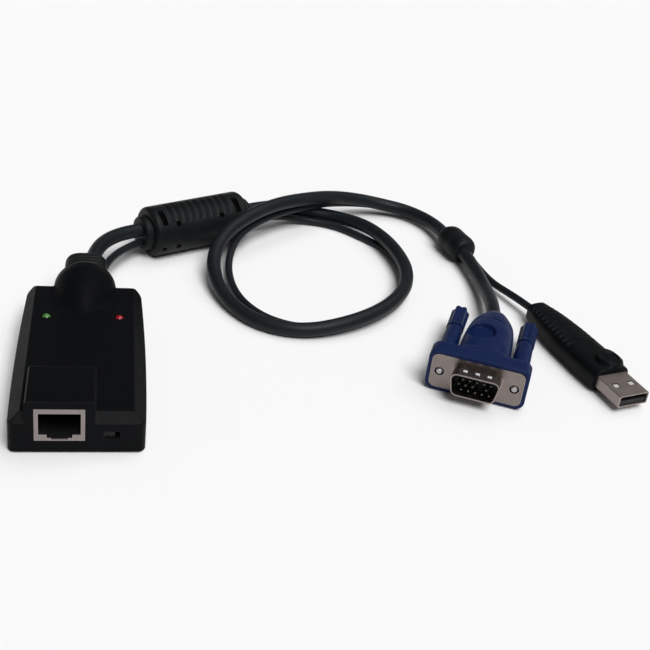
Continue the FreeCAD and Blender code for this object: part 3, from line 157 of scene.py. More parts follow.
class Finish:
    """A material being made from nodes."""

    def __init__(self, name):
        self.material = bpy.data.materials.new(name)
        self.material.use_nodes = True
        self.tree = self.material.node_tree
        self.tree.nodes.clear()

    def node(self, kind, output, settings=None, inputs=None):
        """Add a node, set it up, then fill its sockets with numbers, colours or nodes' outputs."""
        made = self.tree.nodes.new(kind)
        for key, setting in (settings or {}).items():
            setattr(made, key, setting)
        for key, value in (inputs or {}).items():
            socket = next(s for s in made.inputs if key in (s.identifier, s.name))
            if isinstance(value, Value):
                self.tree.links.new(value.socket, socket)
            else:
                socket.default_value = value
        if output is None:
            return made
        return Value(self, next(s for s in made.outputs if output in (s.identifier, s.name)))

    def math(self, operation, first, second):
        """One Math node."""
        return self.node("ShaderNodeMath", "Value", {"operation": operation},
                         {"Value": first, "Value_001": second})

    def place(self):
        """The point in the object's own coordinates, in metres."""
        return self.node("ShaderNodeTexCoord", "Object")

    def stretched(self, place, scale, turn):
        """The point turned and stretched."""
        return self.node("ShaderNodeMapping", "Vector", {"vector_type": "POINT"},
                         {"Vector": place, "Scale": scale, "Rotation": turn})

    def noise(self, place, size, detail=2.0, roughness=0.5):
        """Cloudy noise whose features are about size metres across."""
        return self.node("ShaderNodeTexNoise", "Fac", None,
                         {"Vector": place, "Scale": 1.0 / size, "Detail": detail,
                          "Roughness": roughness})

    def blend(self, factor, first, second):
        """A colour between two colours."""
        return self.node("ShaderNodeMix", "Result_Color", {"data_type": "RGBA"},
                         {"Factor_Float": factor, "A_Color": first, "B_Color": second})

    def bump(self, height, distance):
        """The surface's normal over a relief that is distance metres high."""
        return self.node("ShaderNodeBump", "Normal", None,
                         {"Height": height, "Distance": distance, "Strength": 1.0})

    def edges(self, radius):
        """1 along sharp edges, fading to 0 within radius metres of them."""
        rounded = self.node("ShaderNodeBevel", "Normal", {"samples": 4}, {"Radius": radius})
        facing = self.node("ShaderNodeNewGeometry", "Normal")
        same = self.node("ShaderNodeVectorMath", "Value", {"operation": "DOT_PRODUCT"},
                         {"Vector": rounded, "Vector_001": facing})
        return (1.0 - same).over(level=0.01, spread=0.22)

    def close(self, **sockets):
        """Add the surface shader and the output."""
        names = {key.replace("_", " "): value for key, value in sockets.items()}
        shader = self.node("ShaderNodeBsdfPrincipled", "BSDF", None, names)
        self.node("ShaderNodeOutputMaterial", None, None, {"Surface": shader})
        return self.material


def shade(colour, share):
    """The colour made darker or lighter, as a four-part tuple."""
    return tuple(min(1.0, c * share) for c in tuple(colour)[:3]) + (1.0,)


def moulded_plastic(name, colour, roughness, gloss, grain=0.00035, depth=0.00002, mottling=0.18,
                    paler=None):
    """Moulded plastic: eroded grain, faint flow marks and handling marks in the sheen.

    With a paler colour, sharp edges take it in patches and are smoother there: partly wear, partly a
    painted highlight along the edges.
    """
    f = Finish(name)
    place = f.place()
    flow = f.noise(place, size=0.012, detail=3.0)
    touch = f.noise(place, size=0.006, detail=4.0, roughness=0.6)
    pores = f.noise(place, size=grain, roughness=0.6)
    base = f.blend(flow, shade(colour, 1 - mottling), shade(colour, 1 + mottling))
    sheen = touch * 0.16 + (roughness - 0.08)
    if paler is not None:
        # Sharp edges are painted paler in patches: partly wear, partly a painted highlight.
        edge_wear_and_highlight = f.edges(radius=0.0004) * (f.noise(place, size=0.003, detail=3.0) * 0.8 + 0.25)
        base = f.blend(edge_wear_and_highlight, base, shade(paler, 1.0))
        sheen = sheen - edge_wear_and_highlight * 0.12
    return f.close(Base_Color=base, Roughness=sheen, Specular_IOR_Level=gloss,
                   Normal=f.bump(pores, depth))


def soft_rubber(name, colour, roughness, gloss):
    """Soft moulded rubber: a matt skin with patches of dust and fine speckles."""
    f = Finish(name)
    place = f.place()
    dust = f.noise(place, size=0.004, detail=5.0, roughness=0.65).over(level=0.42, spread=0.3)
    skin = f.noise(place, size=0.00028, roughness=0.7)
    base = f.blend(dust, shade(colour, 0.85), shade(colour, 1.25))
    sheen = dust * 0.12 + roughness
    return f.close(Base_Color=base, Roughness=sheen, Specular_IOR_Level=gloss,
                   Normal=f.bump(skin, distance=0.000025))


def cable_sheath(name, colour, roughness, gloss):
    """Extruded cable sheath: satin, with faint dulled patches and a barely uneven skin."""
    f = Finish(name)
    place = f.place()
    paler = f.noise(place, size=0.009, detail=4.0, roughness=0.6)
    skin = f.noise(place, size=0.0009, detail=3.0, roughness=0.6)
    base = f.blend(paler, shade(colour, 0.82), shade(colour, 1.2))
    sheen = paler * 0.14 + (roughness - 0.07)
    return f.close(Base_Color=base, Roughness=sheen, Specular_IOR_Level=gloss,
                   Normal=f.bump(skin, distance=0.00003))


def plated_metal(name, colour, roughness, drawn=(1.0, 1.0, 1.0), turn=0.0, dulled=0.35):
    """Plated sheet or turned metal: marks drawn one way, cloudy tarnish, bright edges that are
    partly rubbed plating and partly a painted highlight.

    The marks are stretched by drawn, after a turn in degrees. A dulled plating is less metallic
    away from its edges.
    """
    f = Finish(name)
    place = f.place()
    along = f.stretched(place, drawn, (0.0, 0.0, math.radians(turn)))
    lines = f.noise(along, size=0.0004, detail=3.0, roughness=0.6)
    cloud = f.noise(place, size=0.003, detail=4.0, roughness=0.6)
    edge_wear_and_highlight = f.edges(radius=0.00025)
    base = f.blend(cloud, shade(colour, 0.8), shade(colour, 1.12))
    # The edges are painted far paler: partly rubbed plating, partly a painted highlight.
    base = f.blend(edge_wear_and_highlight * 0.8, base, shade(colour, 2.8))
    sheen = cloud * 0.14 + lines * 0.1 - edge_wear_and_highlight * 0.15 + (roughness - 0.12)
    bare = edge_wear_and_highlight * dulled - cloud * 0.1 + (1.05 - dulled)
    return f.close(Base_Color=base, Metallic=bare, Roughness=sheen,
                   Normal=f.bump(lines, distance=0.000008))


def lamp_lens(name, colour, glow):
    """A moulded lens: cloudy colour under a clear skin, glowing a little."""
    f = Finish(name)
    cloud = f.noise(f.place(), size=0.0012)
    base = f.blend(cloud, shade(colour, 0.75), shade(colour, 1.15))
    return f.close(Base_Color=base, Roughness=0.25, Specular_IOR_Level=0.4, Coat_Weight=0.3,
                   Coat_Roughness=0.12, Emission_Color=shade(colour, 1.0), Emission_Strength=glow)


def board_laminate(name, colour):
    """Solder mask over copper: tracks as paler soft-edged stripes, the glass weave as grain."""
    f = Finish(name)
    place = f.place()
    tracks = f.node("ShaderNodeTexWave", "Fac", {"wave_type": "BANDS", "bands_direction": "X"},
                    {"Vector": place, "Scale": 180.0, "Distortion": 6.0, "Detail": 1.0,
                     "Detail Scale": 0.6})
    copper = tracks.over(level=0.55, spread=0.1)
    weave = f.noise(place, size=0.0005)
    base = f.blend(copper, shade(colour, 0.8), shade(colour, 1.7))
    return f.close(Base_Color=base, Roughness=0.38, Coat_Weight=0.3,
                   Normal=f.bump(weave + copper * 2.0, distance=0.00001))


def sintered(name, colour):
    """Sintered ferrite: speckled, dull and slightly pitted."""
    f = Finish(name)
    place = f.place()
    speckle = f.noise(place, size=0.0006, detail=5.0, roughness=0.7)
    base = f.blend(speckle, shade(colour, 0.7), shade(colour, 1.5))
    return f.close(Base_Color=base, Roughness=0.75, Specular_IOR_Level=0.02,
                   Normal=f.bump(speckle, distance=0.00005))


class AdapterStage(bpy.types.PropertyGroup):
    floor: FloatVectorProperty(
        name="Floor", description="Colour of the floor and the wall behind it", subtype="COLOR",
        size=3, default=(0.93, 0.93, 0.93), min=0.0, max=1.0)
    sky: FloatProperty(
        name="Room light", description="Strength of the even light from the room", default=0.085,
        min=0.0)
    key: FloatProperty(
        name="Key light", description="Strength of the main soft light", default=2.4, min=0.0)
    fill: FloatProperty(
        name="Fill light", description="Strength of the soft light from the other side",
        default=1.0, min=0.0)


class AdapterColours(bpy.types.PropertyGroup):
    housing: FloatVectorProperty(
        name="Housing", description="Colour of the two covers", subtype="COLOR", size=3,
        default=(0.0034, 0.0038, 0.0044), min=0.0, max=1.0)
    rubber: FloatVectorProperty(
        name="Rubber", description="Colour of the boot, the sleeve and the collar",
        subtype="COLOR", size=3, default=(0.0052, 0.0064, 0.0072), min=0.0, max=1.0)
    sheath: FloatVectorProperty(
        name="Cable", description="Colour of both cables", subtype="COLOR", size=3,
        default=(0.0090, 0.0115, 0.0140), min=0.0, max=1.0)
    hood: FloatVectorProperty(
        name="Video plug", description="Colour of the video plug's moulding and knobs",
        subtype="COLOR", size=3, default=(0.0030, 0.0120, 0.0620), min=0.0, max=1.0)
    grip: FloatVectorProperty(
        name="USB grip", description="Colour of the USB plug's grip", subtype="COLOR", size=3,
        default=(0.0032, 0.0040, 0.0047), min=0.0, max=1.0)
    plating: FloatVectorProperty(
        name="Plating", description="Colour of the plugs' plated sheet", subtype="COLOR", size=3,
        default=(0.36, 0.305, 0.285), min=0.0, max=1.0)
    jack: FloatVectorProperty(
        name="Jack shell", description="Colour of the network jack's shell", subtype="COLOR",
        size=3, default=(0.27, 0.235, 0.23), min=0.0, max=1.0)


class AdapterSizes(bpy.types.PropertyGroup):
    video_diameter: FloatProperty(
        name="Video cable", description="Diameter of the thick cable", subtype="DISTANCE",
        unit="LENGTH", default=0.0052, min=0.001)
    usb_diameter: FloatProperty(
        name="USB cable", description="Diameter of the thin cable", subtype="DISTANCE",
        unit="LENGTH", default=0.0028, min=0.001)
    dish: FloatProperty(
        name="Thumb dish", description="Depth of the oval dish in the video plug",
        subtype="DISTANCE", unit="LENGTH", default=0.0019, min=0.0)
    groove: FloatProperty(
        name="Grip grooves", description="Depth of the grooves in both grips",
        subtype="DISTANCE", unit="LENGTH", default=0.0006, min=0.0)


def settings():
    """The three groups of settings of the scene."""
    scene = bpy.context.scene
    return scene.adapter_colours, scene.adapter_sizes, scene.adapter_stage


def dress(material, *nodes):
    """Give CAD nodes their finish."""
    for node in nodes:
        slots = NODES[node].data.materials
        slots.clear()
        slots.append(material)


def in_scene(name, data):
    """A new object in the scene."""
    made = bpy.data.objects.new(name, data)
    bpy.context.scene.collection.objects.link(made)
    return made


def smooth_mesh(name, verts, faces):
    """A mesh whose faces are all smooth."""
    mesh = bpy.data.meshes.new(name)
    mesh.from_pydata(verts.tolist(), [], faces)
    mesh.polygons.foreach_set("use_smooth", np.ones(len(faces), bool))
    return mesh


def ring_angles(count):
    """Angles at even steps once round."""
    return np.linspace(0.0, 2 * math.pi, count, endpoint=False)


def quarter_round(count):
    """1 - cos and 1 - sin at even steps over a quarter turn, in pairs, to round an edge by."""
    return [(1 - math.cos(a), 1 - math.sin(a)) for a in np.linspace(0.0, math.pi / 2, count)]


def on_grid(x, y, z):
    """Points from three coordinates, each a number or an array that is stretched to one grid."""
    return np.stack(np.broadcast_arrays(x, y, z), axis=-1)


def placed(points, place):
    """Millimetres turned about the vertical and carried to a place, if there is one, in metres."""
    if place is None:
        return points * MM
    spot, degrees = place
    turn = math.radians(degrees)
    c, s = math.cos(turn), math.sin(turn)
    x, y, z = points[..., 0], points[..., 1], points[..., 2]
    return on_grid(c * x - s * y + spot[0], s * x + c * y + spot[1], z + spot[2]) * MM


def closed_surface(rings):
    """Join rings of points one to the next and close each end on its middle.

    The faces are turned outwards: their signed volume, a sum of triple products, is kept above 0.
    """
    rows, cols, _ = rings.shape
    ends = np.stack([rings[0].mean(axis=0), rings[-1].mean(axis=0)])
    verts = np.concatenate([rings.reshape(-1, 3), ends])
    k = np.arange(cols)
    after = (k + 1) % cols
    base = np.arange(rows - 1)[:, None] * cols
    quads = np.stack([base + k, base + after, base + cols + after, base + cols + k], axis=-1)
    quads = quads.reshape(-1, 4)
    last = (rows - 1) * cols
    first_cap = np.stack([np.full(cols, rows * cols), after, k], axis=-1)
    last_cap = np.stack([np.full(cols, rows * cols + 1), last + k, last + after], axis=-1)
    a, b, c, d = (verts[quads[:, i]] for i in range(4))
    volume = (np.einsum("ij,ij->i", a, np.cross(b, c)).sum()
              + np.einsum("ij,ij->i", a, np.cross(c, d)).sum())
    step = -1 if volume < 0 else 1
    return verts, [polygons[:, ::step] for polygons in (quads, first_cap, last_cap)]


def add_piece(name, shapes, material, body=ROOT, sharp=35.0, place=None):
    """One object from closed grids of rings, smooth except at edges sharper than sharp degrees."""
    points, faces = [], []
    start = 0
    for rings in shapes:
        verts, groups = closed_surface(placed(rings, place))
        points.append(verts)
        for polygons in groups:
            faces += (polygons + start).tolist()
        start += len(verts)
    mesh = smooth_mesh(name, np.concatenate(points), faces)
    mesh.set_sharp_from_angle(angle=math.radians(sharp))
    mesh.materials.append(material)
    mesh.update()
    piece = in_scene(name, mesh)
    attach(piece, body)
    return piece


def soft_step(value, low, high):
    """0 below low, 1 above high, and a cubic between."""
    t = np.clip((value - low) / (high - low), 0.0, 1.0)
    return t * t * (3.0 - 2.0 * t)


def smooth_sizes(sections, y):
    """Half widths and half heights at y, by a cubic through the sections with averaged slopes."""
    table = np.array(sections)
    at = table[:, 0]
    index = np.clip(np.searchsorted(at, y) - 1, 0, len(at) - 2)
    gap = at[index + 1] - at[index]
    t = (y - at[index]) / gap
    found = []
    for column in (1, 2):
        p = table[:, column]
        slope = np.gradient(p, at)
        p0, p1 = p[index], p[index + 1]
        m0, m1 = slope[index] * gap, slope[index + 1] * gap
        found.append((2 * t**3 - 3 * t**2 + 1) * p0 + (t**3 - 2 * t**2 + t) * m0
                     + (3 * t**2 - 2 * t**3) * p1 + (t**3 - t**2) * m1)
    return found


def larger(first, second, reach):
    """The larger of two, with a parabola joining them where they differ by less than reach."""
    near = np.clip(1.0 - np.abs(first - second) / reach, 0.0, 1.0)
    return np.maximum(first, second) + near * near * reach / 4.0


def squared_round(around, half_w, half_h, power):
    """A superellipse: |x/w|^power + |z/h|^power = 1, at angles round it."""
    c, s = np.cos(around), np.sin(around)
    x = half_w * np.sign(c) * np.abs(c) ** (2.0 / power)
    z = half_h * np.sign(s) * np.abs(s) ** (2.0 / power)
    return x, z


def carried_profile(half_w, half_h, corner, profile, around):
    """Rings of a rounded rectangle, each drawn in by the profile's inset and standing at its y."""
    tightest_corner = 0.02
    rings = []
    for inset, y in profile:
        w, h = half_w - inset, half_h - inset
        r = max(min(corner - inset, w, h), tightest_corner)
        quarter = np.floor(around / (math.pi / 2)).astype(int) % 4
        sx = np.where((quarter == 0) | (quarter == 3), 1.0, -1.0)
        sz = np.where(quarter < 2, 1.0, -1.0)
        x = sx * (w - r) + r * np.cos(around)
        z = sz * (h - r) + r * np.sin(around)
        rings.append(on_grid(x, y, z))
    return np.array(rings)


def tablet(half_w, half_l, corner, thick, rim, spot):
    """A rounded rectangle lying flat at a spot, thick high, with its upper edge rounded."""
    inner = 0.85 * min(half_w, half_l)
    profile = [(inner, 0.0), (0.0, 0.0)]
    profile += [(rim * c, thick - rim * s) for c, s in quarter_round(5)] + [(inner, thick)]
    rings = carried_profile(half_w, half_l, corner, profile, ring_angles(48))
    return rings[..., [0, 2, 1]] + np.array(spot)


def bowed_grooves(share, y, count, rear, gap, bow, depth):
    """Grooves across a grip, from the rear one forwards: steep bells whose y bows with share^2."""
    half_width = 0.42
    drawn_in = np.zeros_like(share)
    for i in range(count):
        centre = rear - gap * i - bow * share ** 2
        drawn_in += depth * np.exp(-((y - centre) / half_width) ** 4)
    return drawn_in


def make_cord(name, node, points, diameter, material):
    """A NURBS line through its control points, with a round tube, that stands for its CAD node."""
    curve = bpy.data.curves.new(name, "CURVE")
    curve.dimensions = "3D"
    curve.resolution_u = 10
    curve.bevel_depth = diameter / 2
    curve.bevel_resolution = 8
    curve.use_fill_caps = True
    spline = curve.splines.new("NURBS")
    spline.points.add(len(points) - 1)
    spots = np.c_[np.array(points) * MM, np.ones(len(points))]
    spline.points.foreach_set("co", spots.ravel())
    spline.order_u = 3
    spline.use_endpoint_u = True
    curve.materials.append(material)
    cord = in_scene(name, curve)
    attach(cord, ROOT)
    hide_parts(node)


class ADAPTER_OT_stage(bpy.types.Operator):
    """Camera, floor with a curved wall, room light and two soft suns."""

    bl_idname = "adapter.stage"
    bl_label = "Stage"

    def execute(self, context):
        _, _, stage = settings()
        self.camera(context)
        self.floor(stage)
        self.lights(stage)
        context.scene.view_settings.view_transform = "Standard"
        return {"FINISHED"}

    def camera(self, context):
        """The photograph's view: turned, looking down, then tilted about its line of sight."""
        yaw, pitch, roll = (math.radians(a) for a in VIEW_ANGLES)
        ahead = np.array([math.sin(yaw) * math.cos(pitch), math.cos(yaw) * math.cos(pitch),
                          -math.sin(pitch)])
        level = np.array([math.cos(yaw), -math.sin(yaw), 0.0])
        up = np.cross(level, ahead)
        right = level * math.cos(roll) + up * math.sin(roll)
        top = up * math.cos(roll) - level * math.sin(roll)
        lens = bpy.data.cameras.new("camera")
        lens.sensor_width = VIEW_FILM
        lens.lens = VIEW_LENS
        lens.clip_start = 0.01
        camera = in_scene("camera", lens)
        pose = np.eye(4)
        pose[:3, 0], pose[:3, 1], pose[:3, 2] = right, top, -ahead
        pose[:3, 3] = VIEW_SPOT
        camera.matrix_world = Matrix(pose.tolist())
        context.scene.camera = camera

    def floor(self, stage):
        """A round floor that turns up into a wall: radius and height follow a quarter circle."""
        flat_rings = 12
        bend = np.linspace(0.0, math.pi / 2, 16)
        radius = np.concatenate([np.linspace(0.02, FLOOR_RADIUS, flat_rings),
                                 FLOOR_RADIUS + WALL_BEND * np.sin(bend)[1:]])
        height = np.concatenate([np.zeros(flat_rings), WALL_BEND * (1 - np.cos(bend))[1:]])
        around = ring_angles(96)
        x = FLOOR_MIDDLE[0] + radius[:, None] * np.cos(around)
        y = FLOOR_MIDDLE[1] + radius[:, None] * np.sin(around)
        verts = on_grid(x, y, height[:, None]).reshape(-1, 3)
        cols = len(around)
        k = np.arange(cols)
        base = np.arange(len(radius) - 1)[:, None] * cols
        after = (k + 1) % cols
        quads = np.stack([base + k, base + cols + k, base + cols + after, base + after], axis=-1)
        mesh = smooth_mesh("floor", verts, quads.reshape(-1, 4).tolist() + [k.tolist()])
        f = Finish("floor_paper")
        tooth = f.noise(f.place(), size=0.002, detail=3.0)
        paper = f.blend(tooth, shade(stage.floor, 0.995), shade(stage.floor, 1.005))
        mesh.materials.append(f.close(Base_Color=paper, Roughness=0.9, Specular_IOR_Level=0.0))
        floor = in_scene("floor", mesh)

    def lights(self, stage):
        """An even room light and two wide suns."""
        world = bpy.data.worlds.new("room")
        world.use_nodes = True
        room = world.node_tree.nodes["Background"].inputs
        room["Color"].default_value = (1.0, 1.0, 1.0, 1.0)
        room["Strength"].default_value = stage.sky
        bpy.context.scene.world = world
        for name, power, in_sky in (("key", stage.key, KEY_SUN), ("fill", stage.fill, FILL_SUN)):
            azimuth, height, spread = in_sky
            sun = bpy.data.lights.new(name, "SUN")
            sun.energy = power
            sun.angle = math.radians(spread)
            lamp = in_scene(name, sun)
            lamp.rotation_euler = (math.radians(90.0 - height), 0.0, math.radians(azimuth + 90.0))


class ADAPTER_OT_cords(bpy.types.Operator):
    """The thick video cable and the thin USB cable, in satin sheath."""

    bl_idname = "adapter.cords"
    bl_label = "Cables"

    def execute(self, context):
        colours, sizes, _ = settings()
        sheath = cable_sheath("cable_jacket", colours.sheath, roughness=0.44, gloss=0.16)
        make_cord("video_cord", "video_cable", VIDEO_POINTS, sizes.video_diameter, sheath)
        make_cord("usb_cord", "usb_cable", USB_POINTS, sizes.usb_diameter, sheath)
        return {"FINISHED"}


class ADAPTER_OT_housing(bpy.types.Operator):
    """The covers, their screws, the rubber boot, and the mouldings on the cables."""

    bl_idname = "adapter.housing"
    bl_label = "Housing"

    def execute(self, context):
        colours, _, _ = settings()
        # The covers' sharp edges are painted paler: partly wear, partly a painted highlight.
        black = moulded_plastic("housing_plastic", colours.housing, roughness=0.42, gloss=0.05,
                                paler=(0.022, 0.024, 0.028))
        soft = moulded_plastic("snout_plastic", colours.housing, roughness=0.56, gloss=0.03)
        rubber = soft_rubber("black_rubber", colours.rubber, roughness=0.46, gloss=0.14)
        steel = plated_metal("steel", (0.42, 0.42, 0.43), roughness=0.32)
        dress(black, "top_cover", "bottom_cover")
        add_piece("snout_fairing", [self.fairing()], soft, sharp=60.0)
        boot = add_piece("boot_skin", [self.boot()], rubber)
        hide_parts("cable_boot")
        sleeve = add_piece("ferrite_skin", [self.sleeve()], rubber, place=FERRITE)
        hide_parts("ferrite_sleeve")
        collar = add_piece("collar_skin", [self.collar()], rubber, place=COLLAR)
        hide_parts("cable_collar")
        # The core is coloured near black, far darker than sintered ferrite, so that it reads dark in
        # the deep slots and wells: painted shade.
        dress(sintered("ferrite", (0.0022, 0.0022, 0.0024)), "ferrite_core")
        dress(steel, "cover_screws")
        return {"FINISHED"}

    def fairing(self):
        """The soft joint between the snout and the lid.

        Round the cables' axis the snout stands at R = radius sqrt(1 - ((middle - y) / front)^2),
        run out forwards as its tangent, and the lid stands at rise / sin(angle). The surface is
        the larger of the two with a rounded joint, just proud of the covers and sunk into them at
        its border.
        """
        front, tangent, rear = 6.5, 15.0, 28.8
        margin, narrowest, widest = 0.8, 2.5, 14.5
        proud, border_width, border_drop = 0.04, 2.0, 0.035
        sunk, floor_share = 0.6, 0.98
        least_reach, more_reach, reach_fade = 0.1, 4.2, (21.0, 28.4)
        y = np.linspace(front, rear, 130)
        level = SNOUT_RADIUS * math.sqrt(1 - ((SNOUT_Y - tangent) / SNOUT_FRONT) ** 2)
        slope = (SNOUT_RADIUS / SNOUT_FRONT) ** 2 * (SNOUT_Y - tangent) / level
        egg = SNOUT_RADIUS * np.sqrt(np.clip(1 - ((SNOUT_Y - y) / SNOUT_FRONT) ** 2, 0.0, 1.0))
        radius = np.where(y < tangent, level + slope * (y - tangent), egg)
        reach = least_reach + more_reach * (1 - soft_step(y, *reach_fade))
        rise = LID_Z - SNOUT_Z
        chord = np.sqrt(np.clip((radius + reach) ** 2 - rise ** 2, 0.0, None))
        side = np.clip(chord + margin, narrowest, widest)
        edge = np.arctan2(rise, side)[:, None]
        angle = edge + np.linspace(0.0, 1.0, 150) * (math.pi - 2 * edge)
        out = larger(radius[:, None], rise / np.sin(angle), reach[:, None]) + proud
        x, z = out * np.cos(angle), SNOUT_Z + out * np.sin(angle)
        border = np.minimum(np.minimum(y - y[0], y[-1] - y)[:, None], side[:, None] - np.abs(x))
        z = z - border_drop * (1 - soft_step(border, 0.0, border_width))
        under = side[:, None] * np.linspace(-floor_share, floor_share, 24)
        x = np.concatenate([x, under], axis=1)
        z = np.concatenate([z, np.full_like(under, LID_Z - sunk)], axis=1)
        return on_grid(x, y[:, None], z)

    def boot(self):
        """The boot: round at the snout, a squared round outside, with three fine grooves.

        Its radius, less a steep bell for each groove, ends in a quarter circle at the rear edge.
        """
        start, radius, edge, rows = 34.2, 7.2, 1.7, 120
        round_power, squaring, squared_y = 2.0, 1.3, 38.0
        groove_y, groove_gap, groove_depth, groove_half = 37.4, 2.0, 0.32, 0.33
        bend = np.linspace(0.0, math.pi / 2, 9)[1:]
        shoulder = BOOT_END - edge
        y = np.concatenate([np.linspace(start, shoulder, rows), shoulder + edge * np.sin(bend)])
        inset = np.concatenate([np.zeros(rows), edge * (1 - np.cos(bend))])
        for i in range(3):
            bell = np.exp(-((y - groove_y - groove_gap * i) / groove_half) ** 4)
            inset = inset + groove_depth * bell
        half = (radius - inset)[:, None]
        power = (round_power + squaring * soft_step(y, start, squared_y))[:, None]
        x, z = squared_round(ring_angles(140)[None, :], half, half, power)
        return on_grid(x, y[:, None], SNOUT_Z + z)

    def collar(self):
        """The moulding where the cables part: an egg-ended round with a faint waist.

        Over a turn t from end to end it lies at half length times cos(t)^0.55, keeping its sign,
        and its radius goes with sin(t)^0.32, less a bell for the waist.
        """
        half_length, radius, waist, waist_half = 7.8, 5.45, 0.18, 3.0
        wider, flatter, power, pole = 1.03, 0.985, 2.25, 0.05
        turn = np.linspace(pole, math.pi - pole, 70)
        along = -half_length * np.sign(np.cos(turn)) * np.abs(np.cos(turn)) ** 0.55
        half = (radius * np.sin(turn) ** 0.32 - waist * np.exp(-(along / waist_half) ** 2))[:, None]
        y, z = squared_round(ring_angles(96)[None, :], wider * half, flatter * half, power)
        return on_grid(along[:, None], y, z)

    def sleeve(self):
        """The ferrite's moulding: rounded ends with a step, and on top bars between two deep slots.

        Its radius is a profile along the length less, inside windows of distances round the
        barrel, bell curves for the grooves, steep ones for the slots, and round wells for the four
        core locating holes.
        """
        neck_end, neck_radius, neck_edge = 23.5, 6.6, 1.6
        barrel_end, barrel_radius, barrel_edge = 20.5, 9.5, 1.9
        middle_end, rows, top = 18.5, 300, math.radians(100.0)
        groove_gap, groove_shift, groove_depth, groove_half = 3.0, 0.6, 0.5, 0.55
        bars_up, bars_fade = 1.9, (4.4, 5.3)
        to_core = 1.9
        slots, slot_up, slot_fade, slot_end_fade = (-16.6, 15.4), 3.9, (0.95, 1.15), (3.1, 3.4)
        wells = ((-11.2, 7.3), (7.8, 7.2), (-17.3, 17.2), (-11.2, 17.1))
        well_fade = (0.75, 1.0)

        edge = quarter_round(8)
        neck = [(-neck_end + neck_edge * c, neck_radius - neck_edge * s) for c, s in edge]
        barrel = [(-barrel_end + barrel_edge * c, barrel_radius - barrel_edge * s) for c, s in edge]
        ends = np.array(neck + [(-barrel_end, neck_radius)] + barrel)
        middle = np.linspace(-middle_end, middle_end, rows)
        at = np.concatenate([ends[:, 0], middle, -ends[::-1, 0]])[:, None]
        radius = np.concatenate([ends[:, 1], np.full(rows, barrel_radius), ends[::-1, 1]])[:, None]
        around = ring_angles(220)
        up = (around - top)[None, :] * barrel_radius
        window = 1 - soft_step(np.abs(up - bars_up), *bars_fade)
        dug = np.zeros((len(at), len(around)))
        for i in range(-4, 5):
            bell = np.exp(-((at - i * groove_gap + groove_shift) / groove_half) ** 2)
            dug += groove_depth * bell * window
        for spot in slots:
            across = 1 - soft_step(np.abs(at - spot), *slot_fade)
            dug += to_core * across * (1 - soft_step(np.abs(up - slot_up), *slot_end_fade))
        for spot, turn in wells:
            dug += to_core * (1 - soft_step(np.hypot(at - spot, up - turn), *well_fade))
        reach = radius - dug
        return on_grid(at, reach * np.cos(around), reach * np.sin(around))


class ADAPTER_OT_jack(bpy.types.Operator):
    """Finishes of the network jack, and of all the black and gilt parts like its own."""

    bl_idname = "adapter.jack"
    bl_label = "Network jack"

    def execute(self, context):
        colours, _, _ = settings()
        shell = plated_metal("jack_metal", colours.jack, roughness=0.34, drawn=(1.0, 8.0, 8.0))
        dress(shell, "rj45_shield")
        black = moulded_plastic("black_plastic", (0.008, 0.008, 0.009), roughness=0.45, gloss=0.3,
                                grain=0.0005)
        dress(black, "rj45_insert", "vga_insert", "usb_tongue", "main_chip", "usb_chip",
              "line_transformer", "mode_switch", "switch_slider")
        gold = plated_metal("gold_plating", (0.50, 0.42, 0.28), roughness=0.25)
        dress(gold, "rj45_contacts", "usb_contacts")
        pins = plated_metal("pin_plating", (0.16, 0.145, 0.12), roughness=0.3, dulled=0.0)
        dress(pins, "vga_pins")
        floor = tablet(half_w=2.33, half_l=6.2, corner=0.3, thick=0.12, rim=0.04,
                       spot=(-4.86, -38.3, 4.905))
        add_piece("latch_floor", [floor], black)
        return {"FINISHED"}


class ADAPTER_OT_lights(bpy.types.Operator):
    """The green and the red indicator."""

    bl_idname = "adapter.lights"
    bl_label = "Indicators"

    def execute(self, context):
        dress(lamp_lens("green_lens", (0.065, 0.19, 0.035), glow=0.03), "link_led")
        dress(lamp_lens("red_lens", (0.30, 0.006, 0.016), glow=0.03), "power_led")
        return {"FINISHED"}


class ADAPTER_OT_board(bpy.types.Operator):
    """Finishes of the board, its headers, wires and parts."""

    bl_idname = "adapter.board"
    bl_label = "Circuit board"

    def execute(self, context):
        dress(board_laminate("board_green", (0.01, 0.09, 0.035)), "circuit_board")
        white = moulded_plastic("white_plastic", (0.62, 0.6, 0.55), roughness=0.42, gloss=0.5)
        dress(white, "vga_header", "usb_header")
        wires = cable_sheath("wire_jacket", (0.25, 0.03, 0.03), roughness=0.45, gloss=0.4)
        dress(wires, "inner_wires")
        cans = moulded_plastic("capacitor_sleeve", (0.012, 0.02, 0.07), roughness=0.3, gloss=0.5)
        dress(cans, "board_capacitors")
        dress(plated_metal("crystal_can", (0.5, 0.5, 0.5), roughness=0.3), "crystal")
        return {"FINISHED"}


